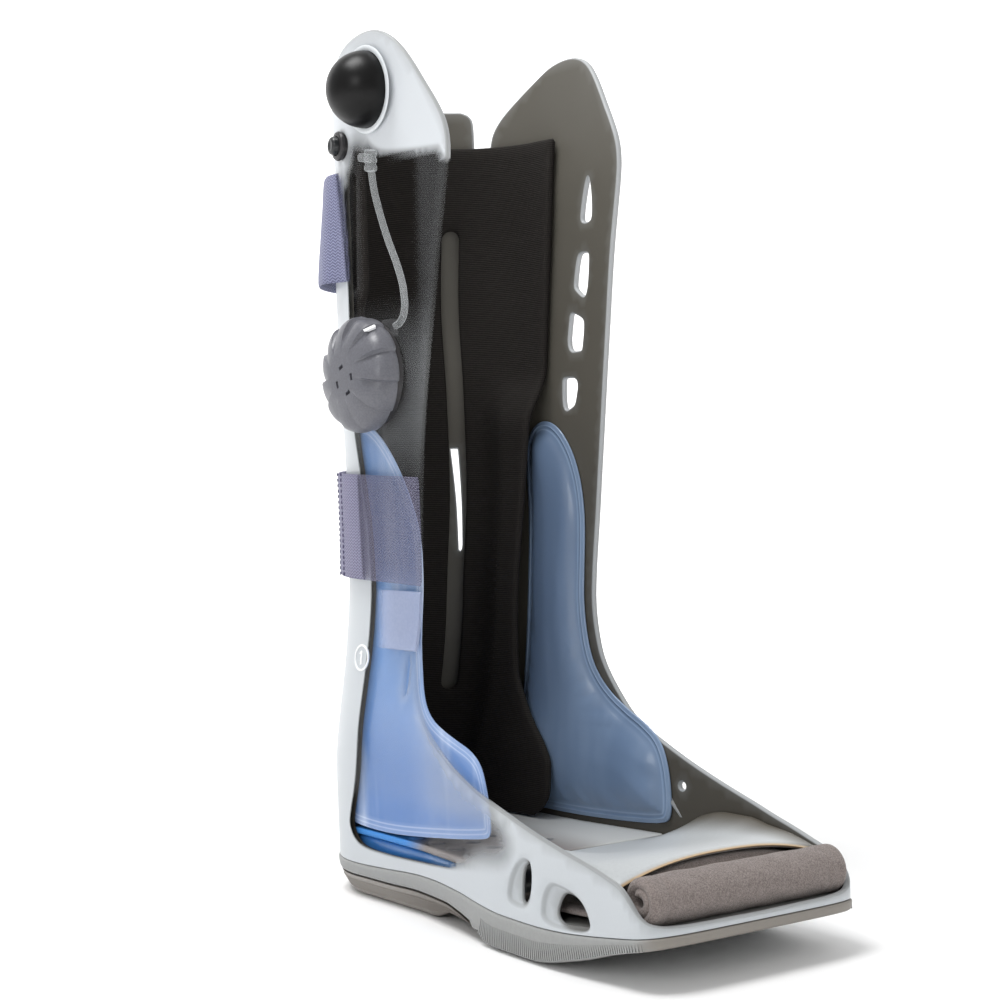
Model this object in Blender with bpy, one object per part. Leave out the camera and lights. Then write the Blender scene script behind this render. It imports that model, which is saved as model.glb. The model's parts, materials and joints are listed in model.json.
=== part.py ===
"""A medical walking boot: open-front rear shell, liner, air cells, pump, selector dial and rocker sole.

Frame: the toe points along -Y, the heel along +Y, +Z is up, and the floor is z = 0. The near wall, with the
pump bulb and the dial, is at -X. Sizes below are in millimetres and become metres when a mesh is made.
"""
import math

import bmesh
import bpy
import numpy as np
from mathutils import Matrix, Vector

for old in list(bpy.data.objects):
    bpy.data.objects.remove(old, do_unlink=True)

MM = 0.001
WALL = 3.0               # thickness of the moulded shell
GAP = 0.3                # clearance between neighbouring pieces
HEEL_Y = 77.0            # rearmost point of the sole
TOE_Y = -212.0           # foremost point of the sole
TOE_CORNER_Y = -186.0    # where the toe's rounded corners begin
LIP_Z = 25.5             # top of the low lip round the toe
PANEL_TOP = 400.0        # top of the panel behind the calf
INSOLE_TOP = 34.0
INSOLE_THICK = 3.0
INSOLE_FRONT = -87.0
LINER_THICK = 4.0
STRAP_THICK = 1.8
DIAL_AT = (-57.3, -12.0, 257.0)
DIAL_R = 27.9
BULB_R = 18.6
TUBE_R = 2.0

# Outer half sections of the shell, one row for each height: centre and depth of the rear half ellipse,
# its half width, and the half widths further forward at the stations in SIDE_Y.
SIDE_Y = (-25.0, -50.0, -75.0, -110.0, -150.0, -190.0)
SECTIONS = (
    # z, centre y, depth, half width, half widths at SIDE_Y
    (17.0, 27.0, 50.0, 50.0, (50.8, 53.4, 56.8, 61.2, 62.4, 61.2)),
    (60.0, 26.0, 51.0, 51.5, (53.4, 56.2, 58.8, 61.0, 61.6, 60.8)),
    (95.0, 16.0, 53.0, 54.0, (55.7, 58.2, 59.4, 60.6, 60.6, 60.0)),
    (120.0, 11.0, 52.5, 53.6, (53.8, 54.6, 55.6, 56.4, 57.0, 57.0)),
    (150.0, 7.0, 53.0, 53.2, (52.5, 51.5, 50.6, 50.0, 50.0, 50.0)),
    (200.0, 4.5, 52.5, 55.0, (54.3, 52.8, 51.0, 50.0, 50.0, 50.0)),
    (250.0, 5.0, 54.5, 56.4, (55.5, 54.0, 51.8, 50.0, 50.0, 50.0)),
    (300.0, 6.0, 57.5, 56.9, (55.8, 53.8, 51.0, 50.0, 50.0, 50.0)),
    (350.0, 4.0, 57.0, 57.6, (56.2, 53.6, 51.3, 50.0, 50.0, 50.0)),
    (385.0, 2.0, 58.0, 59.6, (58.6, 55.6, 52.0, 50.0, 50.0, 50.0)),
    (425.0, 1.0, 59.0, 62.3, (62.0, 58.5, 54.0, 52.0, 52.0, 52.0)),
)
# Line between the shell and the sole, and the sole's bottom, from the heel to the toe.
SOLE_LINE = (
    # y, z
    (77.0, 18.0), (52.0, 17.5), (26.0, 17.5), (0.0, 18.5), (-23.0, 20.0), (-47.0, 20.8), (-70.0, 20.0),
    (-92.0, 18.0), (-114.0, 16.6), (-137.0, 16.4), (-155.0, 17.0), (-170.0, 18.2), (-186.0, 20.0),
    (-200.0, 20.6), (-212.0, 19.6),
)
SOLE_BOTTOM = (
    (77.0, 4.0), (66.0, 1.0), (58.0, 0.0), (-34.0, 0.0), (-42.0, 2.0), (-50.0, 4.5), (-90.0, 4.5),
    (-98.0, 1.2), (-103.0, 0.0), (-134.0, 0.0), (-145.0, 1.5), (-156.0, 4.0), (-170.0, 7.5),
    (-184.0, 11.0), (-198.0, 13.8), (-212.0, 15.0),
)
HEEL_BLOCK_TOP = ((77.0, 10.5), (40.0, 10.5), (0.0, 10.8), (-30.0, 11.6), (-56.0, 11.4), (-70.0, 9.6), (-84.0, 6.6))
# Side view of the shell's free edge, from the toe up to the bend, the tip and the panel at the back.
RIM = (
    (-240.0, LIP_Z), (-213.0, LIP_Z), (-209.0, 28.5), (-204.5, 33.0), (-199.0, 37.6), (-192.0, 41.2),
    (-182.0, 44.2), (-170.0, 48.0), (-157.0, 51.6), (-145.0, 55.6), (-132.0, 59.6), (-118.0, 64.2),
    (-104.0, 69.2), (-92.0, 74.2), (-82.0, 78.8), (-72.0, 83.4), (-63.0, 89.0), (-56.0, 95.6),
    (-50.0, 103.6), (-45.5, 113.0), (-42.8, 124.0), (-42.0, 140.0), (-43.2, 160.0), (-45.4, 185.0),
    (-47.6, 212.0), (-50.4, 244.0), (-53.6, 268.0), (-57.0, 290.0), (-60.6, 315.0), (-64.4, 334.0),
    (-67.6, 350.0), (-68.6, 360.0), (-67.0, 370.0), (-61.6, 380.0), (-54.6, 390.0), (-48.6, 399.0),
    (-42.6, 407.0), (-36.0, 413.4), (-28.0, 417.8), (-19.0, 419.6), (-8.0, 419.0), (2.0, 416.4),
    (12.0, 411.0), (21.0, 404.6), (28.6, 397.4), (33.2, 390.6), (35.3, 383.6), (35.8, 370.0),
    (37.2, 367.0), (40.8, 367.0), (42.2, 370.0), (42.6, 393.0), (44.0, 398.0), (47.4, PANEL_TOP),
    (120.0, PANEL_TOP), (120.0, 460.0), (-240.0, 460.0),
)
# Openings of the far wall in side view.
FAR_WINDOWS = (
    ((-41.8, 358.0), (-44.4, 349.0), (-44.6, 335.6), (-42.0, 333.4), (-36.4, 333.6), (-34.4, 335.8), (-38.0, 349.0)),
    ((-34.2, 318.6), (-40.0, 318.2), (-41.2, 316.6), (-39.4, 302.0), (-37.6, 297.6), (-35.4, 296.4), (-28.6, 301.0),
     (-27.8, 303.4), (-31.0, 317.2)),
    ((-24.8, 289.0), (-27.0, 288.8), (-33.4, 286.2), (-35.8, 283.8), (-33.4, 270.6), (-32.4, 269.8), (-20.8, 270.0),
     (-23.8, 287.6)),
    ((-17.8, 256.8), (-30.0, 256.2), (-27.0, 244.2), (-25.2, 242.2), (-17.0, 239.4), (-16.6, 255.6)),
    ((-20.6, 216.6), (-22.4, 210.0), (-20.2, 200.0), (-16.2, 189.4), (-12.2, 204.6), (-13.6, 214.8)),
)
# Toe windows in side view: the sunk field and the opening in it.
TOE_FIELDS = (
    ((-116.0, 23.4), (-121.0, 34.0), (-126.4, 41.6), (-131.0, 43.0), (-134.6, 41.4), (-134.8, 31.0), (-132.6, 23.0)),
    ((-142.0, 21.6), (-144.2, 32.0), (-147.2, 38.6), (-151.6, 38.8), (-162.0, 37.4), (-169.4, 33.6), (-175.0, 28.0),
     (-174.8, 25.0), (-158.0, 22.0)),
)
TOE_HOLES = (
    ((-134.0, 39.0), (-128.6, 32.4), (-127.2, 28.2), (-131.4, 26.0), (-133.8, 31.0)),
    ((-157.0, 36.6), (-155.0, 33.6), (-153.4, 30.6), (-154.4, 26.8), (-161.0, 26.2), (-172.4, 27.0), (-170.0, 31.8),
     (-163.2, 36.0)),
)
# Outline of an air cell in side view, from the heel's bottom up the rear edge and down the front.
CELL_EDGE = (
    (36.0, 38.0), (31.0, 50.0), (24.0, 68.0), (19.6, 88.0), (16.0, 108.0), (13.0, 128.0), (11.0, 148.0),
    (10.0, 168.0), (10.6, 190.0), (12.6, 212.0), (13.0, 224.0), (8.0, 233.0), (-2.0, 236.4), (-14.0, 232.0),
    (-24.0, 222.0), (-31.0, 210.0), (-35.4, 196.0), (-37.2, 180.0), (-36.8, 160.0), (-36.0, 142.0),
    (-36.8, 124.0), (-40.6, 110.0), (-48.0, 100.0), (-60.0, 92.6), (-74.0, 86.0), (-84.0, 79.0),
    (-89.0, 68.0), (-91.0, 54.0), (-91.0, 42.0), (-86.0, 38.6), (-60.0, 37.0), (-20.0, 36.6), (16.0, 37.0),
)
CELL_CENTRE = (-12.0, 84.0)
# Free front edge of the liner on the far side, and its height range.
LINER_FRONT = (
    # z, y
    (34.4, -7.0), (40.0, -15.0), (48.0, -19.6), (62.0, -19.4), (72.0, -14.0), (80.0, -7.0), (92.0, 1.0),
    (108.0, 6.6), (130.0, 6.0), (185.0, 1.0), (236.0, -4.0), (297.0, -9.0), (347.0, -13.0), (381.0, -14.0),
)
# Top of the footplate: heights of its middle and of its edges.
PLATE_ROWS = (
    # y, middle z, edge z
    (-88.4, 34.0, 34.2), (-95.0, 34.2, 36.6), (-103.0, 35.0, 41.4), (-114.0, 36.8, 47.4), (-128.0, 39.6, 52.4),
    (-143.0, 42.6, 53.4), (-157.0, 45.4, 49.6), (-171.0, 47.8, 46.4), (-182.0, 49.0, 43.2), (-189.0, 49.4, 41.0),
)

COLOURS = {
    "shell": (0.80, 0.82, 0.83), "outsole": (0.62, 0.62, 0.61), "heel_block": (0.27, 0.25, 0.23),
    "insole": (0.42, 0.38, 0.36), "footplate": (0.66, 0.68, 0.69), "heel_cell": (0.05, 0.24, 0.62),
    "cell": (0.16, 0.33, 0.62), "liner": (0.02, 0.02, 0.02), "fleece": (0.86, 0.85, 0.82),
    "webbing": (0.50, 0.54, 0.72), "guide": (0.72, 0.76, 0.82), "dial": (0.24, 0.24, 0.27),
    "dial_seat": (0.70, 0.74, 0.76), "bulb": (0.22, 0.22, 0.24), "ring": (0.80, 0.81, 0.82),
    "collar": (0.10, 0.10, 0.11), "button": (0.45, 0.46, 0.48), "clear_tube": (0.82, 0.85, 0.87),
}
made_materials = {}


def material(slot):
    """The one material of a slot, made the first time it is asked for."""
    if slot not in made_materials:
        mat = bpy.data.materials.new(slot)
        mat.use_nodes = True
        shader = mat.node_tree.nodes["Principled BSDF"]
        shader.inputs["Base Color"].default_value = (*COLOURS[slot], 1.0)
        shader.inputs["Roughness"].default_value = 0.5
        mat.diffuse_color = (*COLOURS[slot], 1.0)
        made_materials[slot] = mat
    return made_materials[slot]


def table(rows, x):
    """Smooth value at x from rows of (x, value), with no overshoot between the rows."""
    pts = sorted(rows)
    xs = [p[0] for p in pts]
    ys = [p[1] for p in pts]
    if x <= xs[0]:
        return ys[0]
    if x >= xs[-1]:
        return ys[-1]
    i = max(j for j in range(len(xs) - 1) if xs[j] <= x)
    h = xs[i + 1] - xs[i]
    step = (ys[i + 1] - ys[i]) / h

    def slope(k):
        if k <= 0 or k >= len(xs) - 1:
            return step
        left = (ys[k] - ys[k - 1]) / (xs[k] - xs[k - 1])
        right = (ys[k + 1] - ys[k]) / (xs[k + 1] - xs[k])
        if left * right <= 0:
            return 0.0
        return 2 * left * right / (left + right)

    t = (x - xs[i]) / h
    a, b = slope(i) * h, slope(i + 1) * h
    return ((2 * t**3 - 3 * t**2 + 1) * ys[i] + (t**3 - 2 * t**2 + t) * a
            + (3 * t**2 - 2 * t**3) * ys[i + 1] + (t**3 - t**2) * b)


def section(z):
    """Centre y, depth, half width and forward half widths of the shell at height z."""
    centre = table([(r[0], r[1]) for r in SECTIONS], z)
    depth = table([(r[0], r[2]) for r in SECTIONS], z)
    half = table([(r[0], r[3]) for r in SECTIONS], z)
    side = [table([(r[0], r[4][k]) for r in SECTIONS], z) for k in range(len(SIDE_Y))]
    return centre, depth, half, side


def half_width(y, z):
    """Outer half width of the shell at y, for y in front of the rear ellipse's centre."""
    centre, depth, half, side = section(z)
    if y >= centre:
        return half * math.sqrt(max(0.0, 1 - ((y - centre) / depth) ** 2))
    rows = [(centre + 12, half), (centre, half)] + list(zip(SIDE_Y, side))
    width = table(rows, max(y, SIDE_Y[-1]))
    if y < TOE_CORNER_Y:
        share = min(1.0, (TOE_CORNER_Y - y) / (TOE_CORNER_Y - TOE_Y))
        width *= (1 - share**3.2) ** (1 / 3.2)
    return width


def skin(q, z, offset=0.0):
    """Point of the shell's outer skin pushed out by offset, with q signed: - near, + far.

    Up to 90 its size is an angle round the rear ellipse from the heel line; above 90 the rest is the distance
    in mm in front of the ellipse's centre.
    """
    side = 1.0 if q >= 0 else -1.0
    size = abs(q)
    centre, depth, half, _ = section(z)

    def flat(value):
        if value <= 90:
            a = math.radians(value)
            return half * math.sin(a), centre + depth * math.cos(a)
        y = centre - (value - 90)
        return half_width(y, z), y

    x0, y0 = flat(max(size - 1.5, 0.0)) if size > 1.5 else (-flat(1.5)[0], flat(1.5)[1])
    x1, y1 = flat(size + 1.5)
    x, y = flat(size)
    length = math.hypot(x1 - x0, y1 - y0)
    nx, ny = -(y1 - y0) / length, (x1 - x0) / length
    return side * (x + nx * offset), y + ny * offset


def mesh_object(name, verts, faces, slot):
    """A closed mesh object in metres from points in millimetres, with its faces turned outward."""
    mesh = bpy.data.meshes.new(name)
    mesh.from_pydata([tuple(c * MM for c in v) for v in verts], [], faces)
    obj = bpy.data.objects.new(name, mesh)
    bpy.context.scene.collection.objects.link(obj)
    bm = bmesh.new()
    bm.from_mesh(mesh)
    bmesh.ops.remove_doubles(bm, verts=bm.verts, dist=0.00002)
    bmesh.ops.recalc_face_normals(bm, faces=bm.faces)
    bm.to_mesh(mesh)
    bm.free()
    mesh.materials.append(material(slot))
    return obj


def slab(name, outer, inner, slot):
    """A solid between two open grids of points of the same size, closed round their border."""
    rows, cols = len(outer), len(outer[0])
    verts = [p for row in outer for p in row] + [p for row in inner for p in row]
    base = rows * cols
    faces = []
    for r in range(rows - 1):
        for c in range(cols - 1):
            a, b = r * cols + c, r * cols + c + 1
            d, e = a + cols, b + cols
            faces.append((a, b, e, d))
            faces.append((base + a, base + d, base + e, base + b))
    border = [(0, c) for c in range(cols)] + [(r, cols - 1) for r in range(1, rows)]
    border += [(rows - 1, c) for c in range(cols - 2, -1, -1)] + [(r, 0) for r in range(rows - 2, 0, -1)]
    ids = [r * cols + c for r, c in border]
    for k, a in enumerate(ids):
        b = ids[(k + 1) % len(ids)]
        faces.append((a, base + a, base + b, b))
    return mesh_object(name, verts, faces, slot)


def prism(name, outline, x0, x1, slot="shell"):
    """A side view outline of (y, z) points carried from x0 to x1."""
    n = len(outline)
    verts = [(x0, y, z) for y, z in outline] + [(x1, y, z) for y, z in outline]
    faces = [tuple(range(n)), tuple(range(2 * n - 1, n - 1, -1))]
    faces += [(i, (i + 1) % n, n + (i + 1) % n, n + i) for i in range(n)]
    return mesh_object(name, verts, faces, slot)


def turned(name, profile, at, axis, slot, steps=24, lobes=None):
    """A turned solid: (radius, height) points from the axis at the bottom to the axis at the top.

    A profile that never touches the axis is closed into a ring. lobes scales the radius at each angle.
    """
    axis = Vector(axis).normalized()
    spin = Vector((0, 0, 1)).rotation_difference(axis).to_matrix()
    ring = profile[0][0] > 0
    verts, index = [], []
    for r, h in profile:
        row = []
        for s in range(1 if r == 0 else steps):
            a = 2 * math.pi * s / steps
            scale = lobes(a, r) if lobes else 1.0
            p = Vector(at) + spin @ Vector((r * scale * math.cos(a), r * scale * math.sin(a), h))
            row.append(len(verts))
            verts.append(tuple(p))
        index.append(row)
    faces = []
    pairs = list(zip(index, index[1:])) + ([(index[-1], index[0])] if ring else [])
    for low, high in pairs:
        for s in range(steps):
            t = (s + 1) % steps
            if len(low) == 1:
                faces.append((low[0], high[s], high[t]))
            elif len(high) == 1:
                faces.append((low[s], low[t], high[0]))
            else:
                faces.append((low[s], low[t], high[t], high[s]))
    return mesh_object(name, verts, faces, slot)


def combine(base, tools, how):
    """Cuts the tools from base, or joins them to it, and removes them."""
    for tool in tools:
        tool.display_type = "WIRE"
        tool.hide_render = True
        mod = base.modifiers.new(how.lower(), "BOOLEAN")
        mod.operation = how
        mod.solver = "EXACT"
        mod.object = tool
        graph = bpy.context.evaluated_depsgraph_get()
        done = bpy.data.meshes.new_from_object(base.evaluated_get(graph))
        base.modifiers.remove(mod)
        previous = base.data
        name = previous.name
        base.data = done
        bpy.data.meshes.remove(previous)
        done.name = name
        bpy.data.objects.remove(tool, do_unlink=True)
    keep = base.data.materials[0]
    base.data.materials.clear()
    base.data.materials.append(keep)
    bm = bmesh.new()
    bm.from_mesh(base.data)
    bmesh.ops.remove_doubles(bm, verts=bm.verts, dist=0.00003)
    bmesh.ops.dissolve_degenerate(bm, dist=0.00002, edges=bm.edges)
    bmesh.ops.triangulate(bm, faces=[f for f in bm.faces if len(f.verts) > 4])
    bm.to_mesh(base.data)
    bm.free()
    return base


def gathered(name, parts):
    """One mesh object made of separate closed pieces that don't touch."""
    verts, faces = [], []
    for part in parts:
        base = len(verts)
        verts += [tuple(v.co / MM) for v in part.data.vertices]
        faces += [tuple(base + i for i in f.vertices) for f in part.data.polygons]
        bpy.data.objects.remove(part, do_unlink=True)
    return mesh_object(name, verts, faces, "shell")


def half_outline(z, offset, toe_steps=5, side_steps=9, rear_steps=9):
    """Near half of a closed outline at height z, from the toe's middle to the heel's middle."""
    centre = section(z)[0]
    pts = []
    for k in range(toe_steps + 1):
        a = math.radians(90 * k / toe_steps)
        y = TOE_CORNER_Y + (TOE_Y - TOE_CORNER_Y) * math.cos(a) ** 0.8
        pts.append((half_width(y, z), y))
    for k in range(1, side_steps + 1):
        y = TOE_CORNER_Y + (centre - TOE_CORNER_Y) * k / side_steps
        pts.append((half_width(y, z), y))
    for k in range(1, rear_steps + 1):
        x, y = skin(90 - 90 * k / rear_steps, z)
        pts.append((x if k < rear_steps else 0.0, y))
    pts[0] = (0.0, TOE_Y)
    moved = []
    for k, (x, y) in enumerate(pts):
        if k == 0:
            moved.append((0.0, y - offset))
            continue
        if k == len(pts) - 1:
            moved.append((0.0, y + offset))
            continue
        tx, ty = pts[k + 1][0] - pts[k - 1][0], pts[k + 1][1] - pts[k - 1][1]
        size = math.hypot(tx, ty)
        moved.append((max(0.4, x + offset * ty / size), y - offset * tx / size))
    return moved


def ring_rows(levels, offset, first_z=None, side_steps=9):
    """Closed rows of points round the boot at the levels, the first one following first_z(y)."""
    rows = []
    for k, z in enumerate(levels):
        half = half_outline(z, offset, side_steps=side_steps)
        near = [(-x, y) for x, y in half]
        far = [(x, y) for x, y in half[-2:0:-1]]
        loop = near + far
        rows.append([(x, y, first_z(y) if k == 0 and first_z else z) for x, y in loop])
    return rows


def floor_faces(start, count, flip):
    """Faces that close a row across the boot, each joining a near point to its far twin."""
    half = count // 2
    far = lambda k: start + (count - k) % count
    faces = []
    for k in range(half):
        quad = [start + k, start + k + 1, far(k + 1), far(k)]
        quad = list(dict.fromkeys(quad))
        faces.append(tuple(reversed(quad)) if flip else tuple(quad))
    return faces


def trough(name, outer, inner, slot):
    """A cup-shaped solid from outer and inner closed rows, with flat floors and a closed top edge."""
    count = len(outer[0])
    verts = [p for row in outer for p in row] + [p for row in inner for p in row]
    base = len(outer) * count
    faces = floor_faces(0, count, False) + floor_faces(base, count, True)
    for shift, rows in ((0, len(outer)), (base, len(inner))):
        for r in range(rows - 1):
            for c in range(count):
                d = (c + 1) % count
                a = shift + r * count
                faces.append((a + c, a + d, a + count + d, a + count + c))
    top, inner_top = (len(outer) - 1) * count, base + (len(inner) - 1) * count
    for c in range(count):
        d = (c + 1) % count
        faces.append((top + c, top + d, inner_top + d, inner_top + c))
    return mesh_object(name, verts, faces, slot)


def block(name, rows, slot):
    """A solid from closed rows of points, with flat faces across its bottom and top."""
    count = len(rows[0])
    verts = [p for row in rows for p in row]
    faces = floor_faces(0, count, False) + floor_faces((len(rows) - 1) * count, count, True)
    for r in range(len(rows) - 1):
        for c in range(count):
            d = (c + 1) % count
            a = r * count
            faces.append((a + c, a + d, a + count + d, a + count + c))
    return mesh_object(name, verts, faces, slot)


def sole_line(y):
    return table(SOLE_LINE, y)


def sole_bottom(y):
    return table(SOLE_BOTTOM, y)


def radial_box(name, q, z0, z1, width, inside, outside):
    """A box through the wall at q, as wide as given along the wall."""
    pts = []
    for z in (z0, z1):
        cx, cy = skin(q, (z0 + z1) / 2, 0.0)
        ex, ey = skin(q, (z0 + z1) / 2, 1.0)
        nx, ny = ex - cx, ey - cy
        for n, t in ((inside, -1), (inside, 1), (outside, 1), (outside, -1)):
            pts.append((cx + nx * n - ny * t * width / 2, cy + ny * n + nx * t * width / 2, z))
    faces = [(0, 1, 2, 3), (7, 6, 5, 4), (0, 4, 5, 1), (1, 5, 6, 2), (2, 6, 7, 3), (3, 7, 4, 0)]
    return mesh_object(name, pts, faces, "shell")


# Shell: a cup with the boot's outline, cut along its free edge in side view.
LEVELS = (17.0, 30.0, 46.0, 62.0, 78.0, 94.0, 108.0, 124.0, 148.0, 178.0, 210.0, 244.0, 278.0, 312.0, 344.0, 370.0,
          396.0, 424.0)
shell = trough("shell", ring_rows(LEVELS, 0.0, sole_line),
               ring_rows(LEVELS, -WALL, lambda y: sole_line(y) + WALL), "shell")
cutters = [prism("rim_cut", RIM, -90, 90)]
cutters += [prism("window", w, 35, 75) for w in FAR_WINDOWS]
for sign in (-1, 1):
    for field in TOE_FIELDS:
        deep = [half_width(y, z) for y, z in field]
        near_x = sign * (min(deep) - 1.0)
        cutters.append(prism("toe_field", field, min(near_x, sign * 80), max(near_x, sign * 80)))
    for hole in TOE_HOLES:
        cutters.append(prism("toe_hole", hole, min(sign * 50, sign * 80), max(sign * 50, sign * 80)))
UPPER_Z = (301.0, 353.0)
MIDDLE_Z = (157.0, 208.0)
UPPER_NEAR_Q, UPPER_FAR_Q = -90.5, 88.0
cutters.append(radial_box("strap_slot", UPPER_NEAR_Q, UPPER_Z[0] - 2, UPPER_Z[1] + 2, 4.2, -8, 8))
cutters.append(radial_box("strap_slot", UPPER_FAR_Q, UPPER_Z[0] - 2, UPPER_Z[1] + 2, 4.2, -8, 8))
cutters.append(radial_box("back_slit", 34.0, 168.0, 224.0, 2.6, -8, 8))
cutters.append(prism("ankle_slot", ((-33.0, 105.0), (-36.6, 106.0), (-37.6, 124.0), (-34.0, 124.0)), -75, -40))
cutters.append(turned("dial_hole", [(0, -12), (20.0, -12), (20.0, 12), (0, 12)], (-55, DIAL_AT[1], DIAL_AT[2]),
                      (-1, 0, 0), "shell", 32))
VALVE_Q, VALVE_Z = -73.0, 370.0
vx, vy = skin(VALVE_Q, VALVE_Z, 0.0)
ux, uy = skin(VALVE_Q, VALVE_Z, 1.0)
VALVE_AXIS = Vector((ux - vx, uy - vy, 0.0)).normalized()
cutters.append(turned("valve_hole", [(0, -12), (6.3, -12), (6.3, 12), (0, 12)], (vx, vy, VALVE_Z), VALVE_AXIS,
                      "shell", 20))
FITTING_AT = (-(half_width(-3.0, 362.0) - WALL - 3.6), -3.0)
cutters.append(turned("fitting_hole", [(0, -6), (2.3, -6), (2.3, 12), (0, 12)], (FITTING_AT[0], FITTING_AT[1], 362),
                      (-1, 0, 0), "shell", 12))
cutters.append(turned("far_hole", [(0, -12), (2.0, -12), (2.0, 12), (0, 12)], (57, -97, 58), (1, 0, 0), "shell", 12))
combine(shell, cutters, "DIFFERENCE")

# Sole: a light rocker with its ball flat, over a darker heel block.
SOLE_STEPS = 18


def light_bottom(y):
    """Underside of the light sole, above the heel block where there is one."""
    if y <= -84:
        return sole_bottom(y)
    return max(sole_bottom(y), table(HEEL_BLOCK_TOP, y) + GAP)


def sole_ring(offset, share):
    """A closed row round the sole, at a share of the way from its underside to its top."""
    rows = []
    for x, y, _ in ring_rows((17.0,), offset, side_steps=SOLE_STEPS)[0]:
        low, high = light_bottom(y), sole_line(y) - GAP
        rows.append((x, y, low + share * (high - low)))
    return rows


def sole_rows():
    return [sole_ring(-3.4, 0.0), sole_ring(-0.6, 0.16), sole_ring(0.6, 0.55), sole_ring(0.6, 1.0)]


outsole = block("outsole", sole_rows(), "outsole")


def heel_outline(offset):
    """Outline of the heel block, cut off square in front."""
    half = [(x, y) for x, y in half_outline(17.0, offset, side_steps=SOLE_STEPS) if y > -79]
    front = -80.6 - offset * 0.1
    width = half_width(front, 17.0) + offset
    half = [(0.0, front - 0.8), (width, front)] + half
    near = [(-x, y) for x, y in half]
    far = [(x, y) for x, y in half[-2:0:-1]]
    return near + far


block("heel_block", [
    [(x, y, max(sole_bottom(y), 0.0)) for x, y in heel_outline(-9.0)],
    [(x, y, max(sole_bottom(y), 0.0) + 0.9) for x, y in heel_outline(-7.0)],
    [(x, y, 0.45 * sole_bottom(y) + 0.5 * table(HEEL_BLOCK_TOP, y)) for x, y in heel_outline(-3.4)],
    [(x, y, table(HEEL_BLOCK_TOP, y) - GAP) for x, y in heel_outline(-0.8)],
], "heel_block")


# Insole and heel cushion: flat plates with the boot's inner outline.
def plate_rows(front, z_low, z_high, offset):
    half = [(x, y) for x, y in half_outline(34.0, offset) if y > front + 4]
    width = half_width(front, 34.0) + offset
    half = [(0.0, front - 0.8), (width - 2.0, front), (width, front + 2.0)] + half
    loop = [(-x, y) for x, y in half] + [(x, y) for x, y in half[-2:0:-1]]
    return [[(x, y, z_low(y)) for x, y in loop], [(x, y, z_high(y)) for x, y in loop]]


insole = block("insole", plate_rows(INSOLE_FRONT, lambda y: INSOLE_TOP - INSOLE_THICK, lambda y: INSOLE_TOP,
                                    -WALL - 0.4), "insole")
diamonds = []
for col in range(4):
    for row in range(6):
        cx = -41.0 + 15.2 * col
        cy = 2.0 - 17.0 * row + (8.5 if col % 2 else 0.0)
        if cy < -72 or (col == 0 and row == 0):
            continue
        tip = [(cx - 5.2, cy), (cx - 1.6, cy - 4.6), (cx + 1.6, cy - 4.6), (cx + 5.2, cy), (cx + 1.6, cy + 4.6),
               (cx - 1.6, cy + 4.6)]
        n = len(tip)
        pts = [(x, y, 26.0) for x, y in tip] + [(x, y, 40.0) for x, y in tip]
        faces = [tuple(range(n)), tuple(range(2 * n - 1, n - 1, -1))]
        faces += [(i, (i + 1) % n, n + (i + 1) % n, n + i) for i in range(n)]
        diamonds.append(mesh_object("diamond", pts, faces, "insole"))
combine(insole, [gathered("diamonds", diamonds)], "DIFFERENCE")

block("heel_cell", plate_rows(-58.0, lambda y: sole_line(y) + WALL + 0.4, lambda y: INSOLE_TOP - INSOLE_THICK - 0.4,
                              -WALL - 2.5), "heel_cell")

# Footplate: a thin curved plate with two flanges that stand on the shell's floor.
top_rows, under_rows = [], []
for y, mid, edge in PLATE_ROWS:
    width = half_width(y, edge) - WALL - 0.6
    row, under = [], []
    for k in range(-5, 6):
        u = k / 5
        z = mid + (edge - mid) * abs(u) ** 2.4
        row.append((width * u, y, z))
        under.append((width * u, y, z - 2.4))
    top_rows.append(row)
    under_rows.append(under)
footplate = slab("footplate", top_rows, under_rows, "footplate")
flanges = []
for sign in (-1, 1):
    width = half_width(-100.0, 30.0) - WALL - 4.2
    base = max(sole_line(-92.0), sole_line(-110.0)) + WALL + 0.4
    outline = ((-92.0, base), (-110.0, base), (-110.0, 42.2), (-101.0, 38.0), (-92.0, 34.0))
    x0, x1 = sign * width, sign * (width - 3.0)
    flanges.append(prism("flange", outline, min(x0, x1), max(x0, x1), "footplate"))
combine(footplate, flanges, "UNION")

# Air cells: pads that follow the walls, thin at the weld and full in the middle.
def cell(name, sign):
    steps = []
    for k, (y, z) in enumerate(CELL_EDGE):
        ny, nz = CELL_EDGE[(k + 1) % len(CELL_EDGE)]
        steps.append((y, z))
        if math.hypot(ny - y, nz - z) > 22:
            steps.append(((y + ny) / 2, (z + nz) / 2))
    shares = (1.0, 0.93, 0.76, 0.45)
    full = (0.8, 1.6, 6.0, 9.0)
    verts = []
    for face in (0, 1):
        for share, thick in zip(shares, full):
            for y, z in steps:
                py = CELL_CENTRE[0] + (y - CELL_CENTRE[0]) * share
                pz = CELL_CENTRE[1] + (z - CELL_CENTRE[1]) * share
                depth = WALL + 0.8 + (thick if face else -0.0)
                verts.append((sign * (half_width(py, pz) - depth), py, pz))
        depth = WALL + 0.8 + (9.6 if face else 0.0)
        verts.append((sign * (half_width(*CELL_CENTRE) - depth), *CELL_CENTRE))
    n = len(steps)
    base = n * len(shares) + 1
    faces = []
    for shift in (0, base):
        for r in range(len(shares) - 1):
            for c in range(n):
                d = (c + 1) % n
                faces.append((shift + r * n + c, shift + r * n + d, shift + (r + 1) * n + d, shift + (r + 1) * n + c))
        last = shift + (len(shares) - 1) * n
        for c in range(n):
            faces.append((last + c, last + (c + 1) % n, shift + base - 1))
    for c in range(n):
        faces.append((c, (c + 1) % n, base + (c + 1) % n, base + c))
    return mesh_object(name, verts, faces, "cell")


cell("near_cell", -1)
cell("far_cell", 1)

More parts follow.
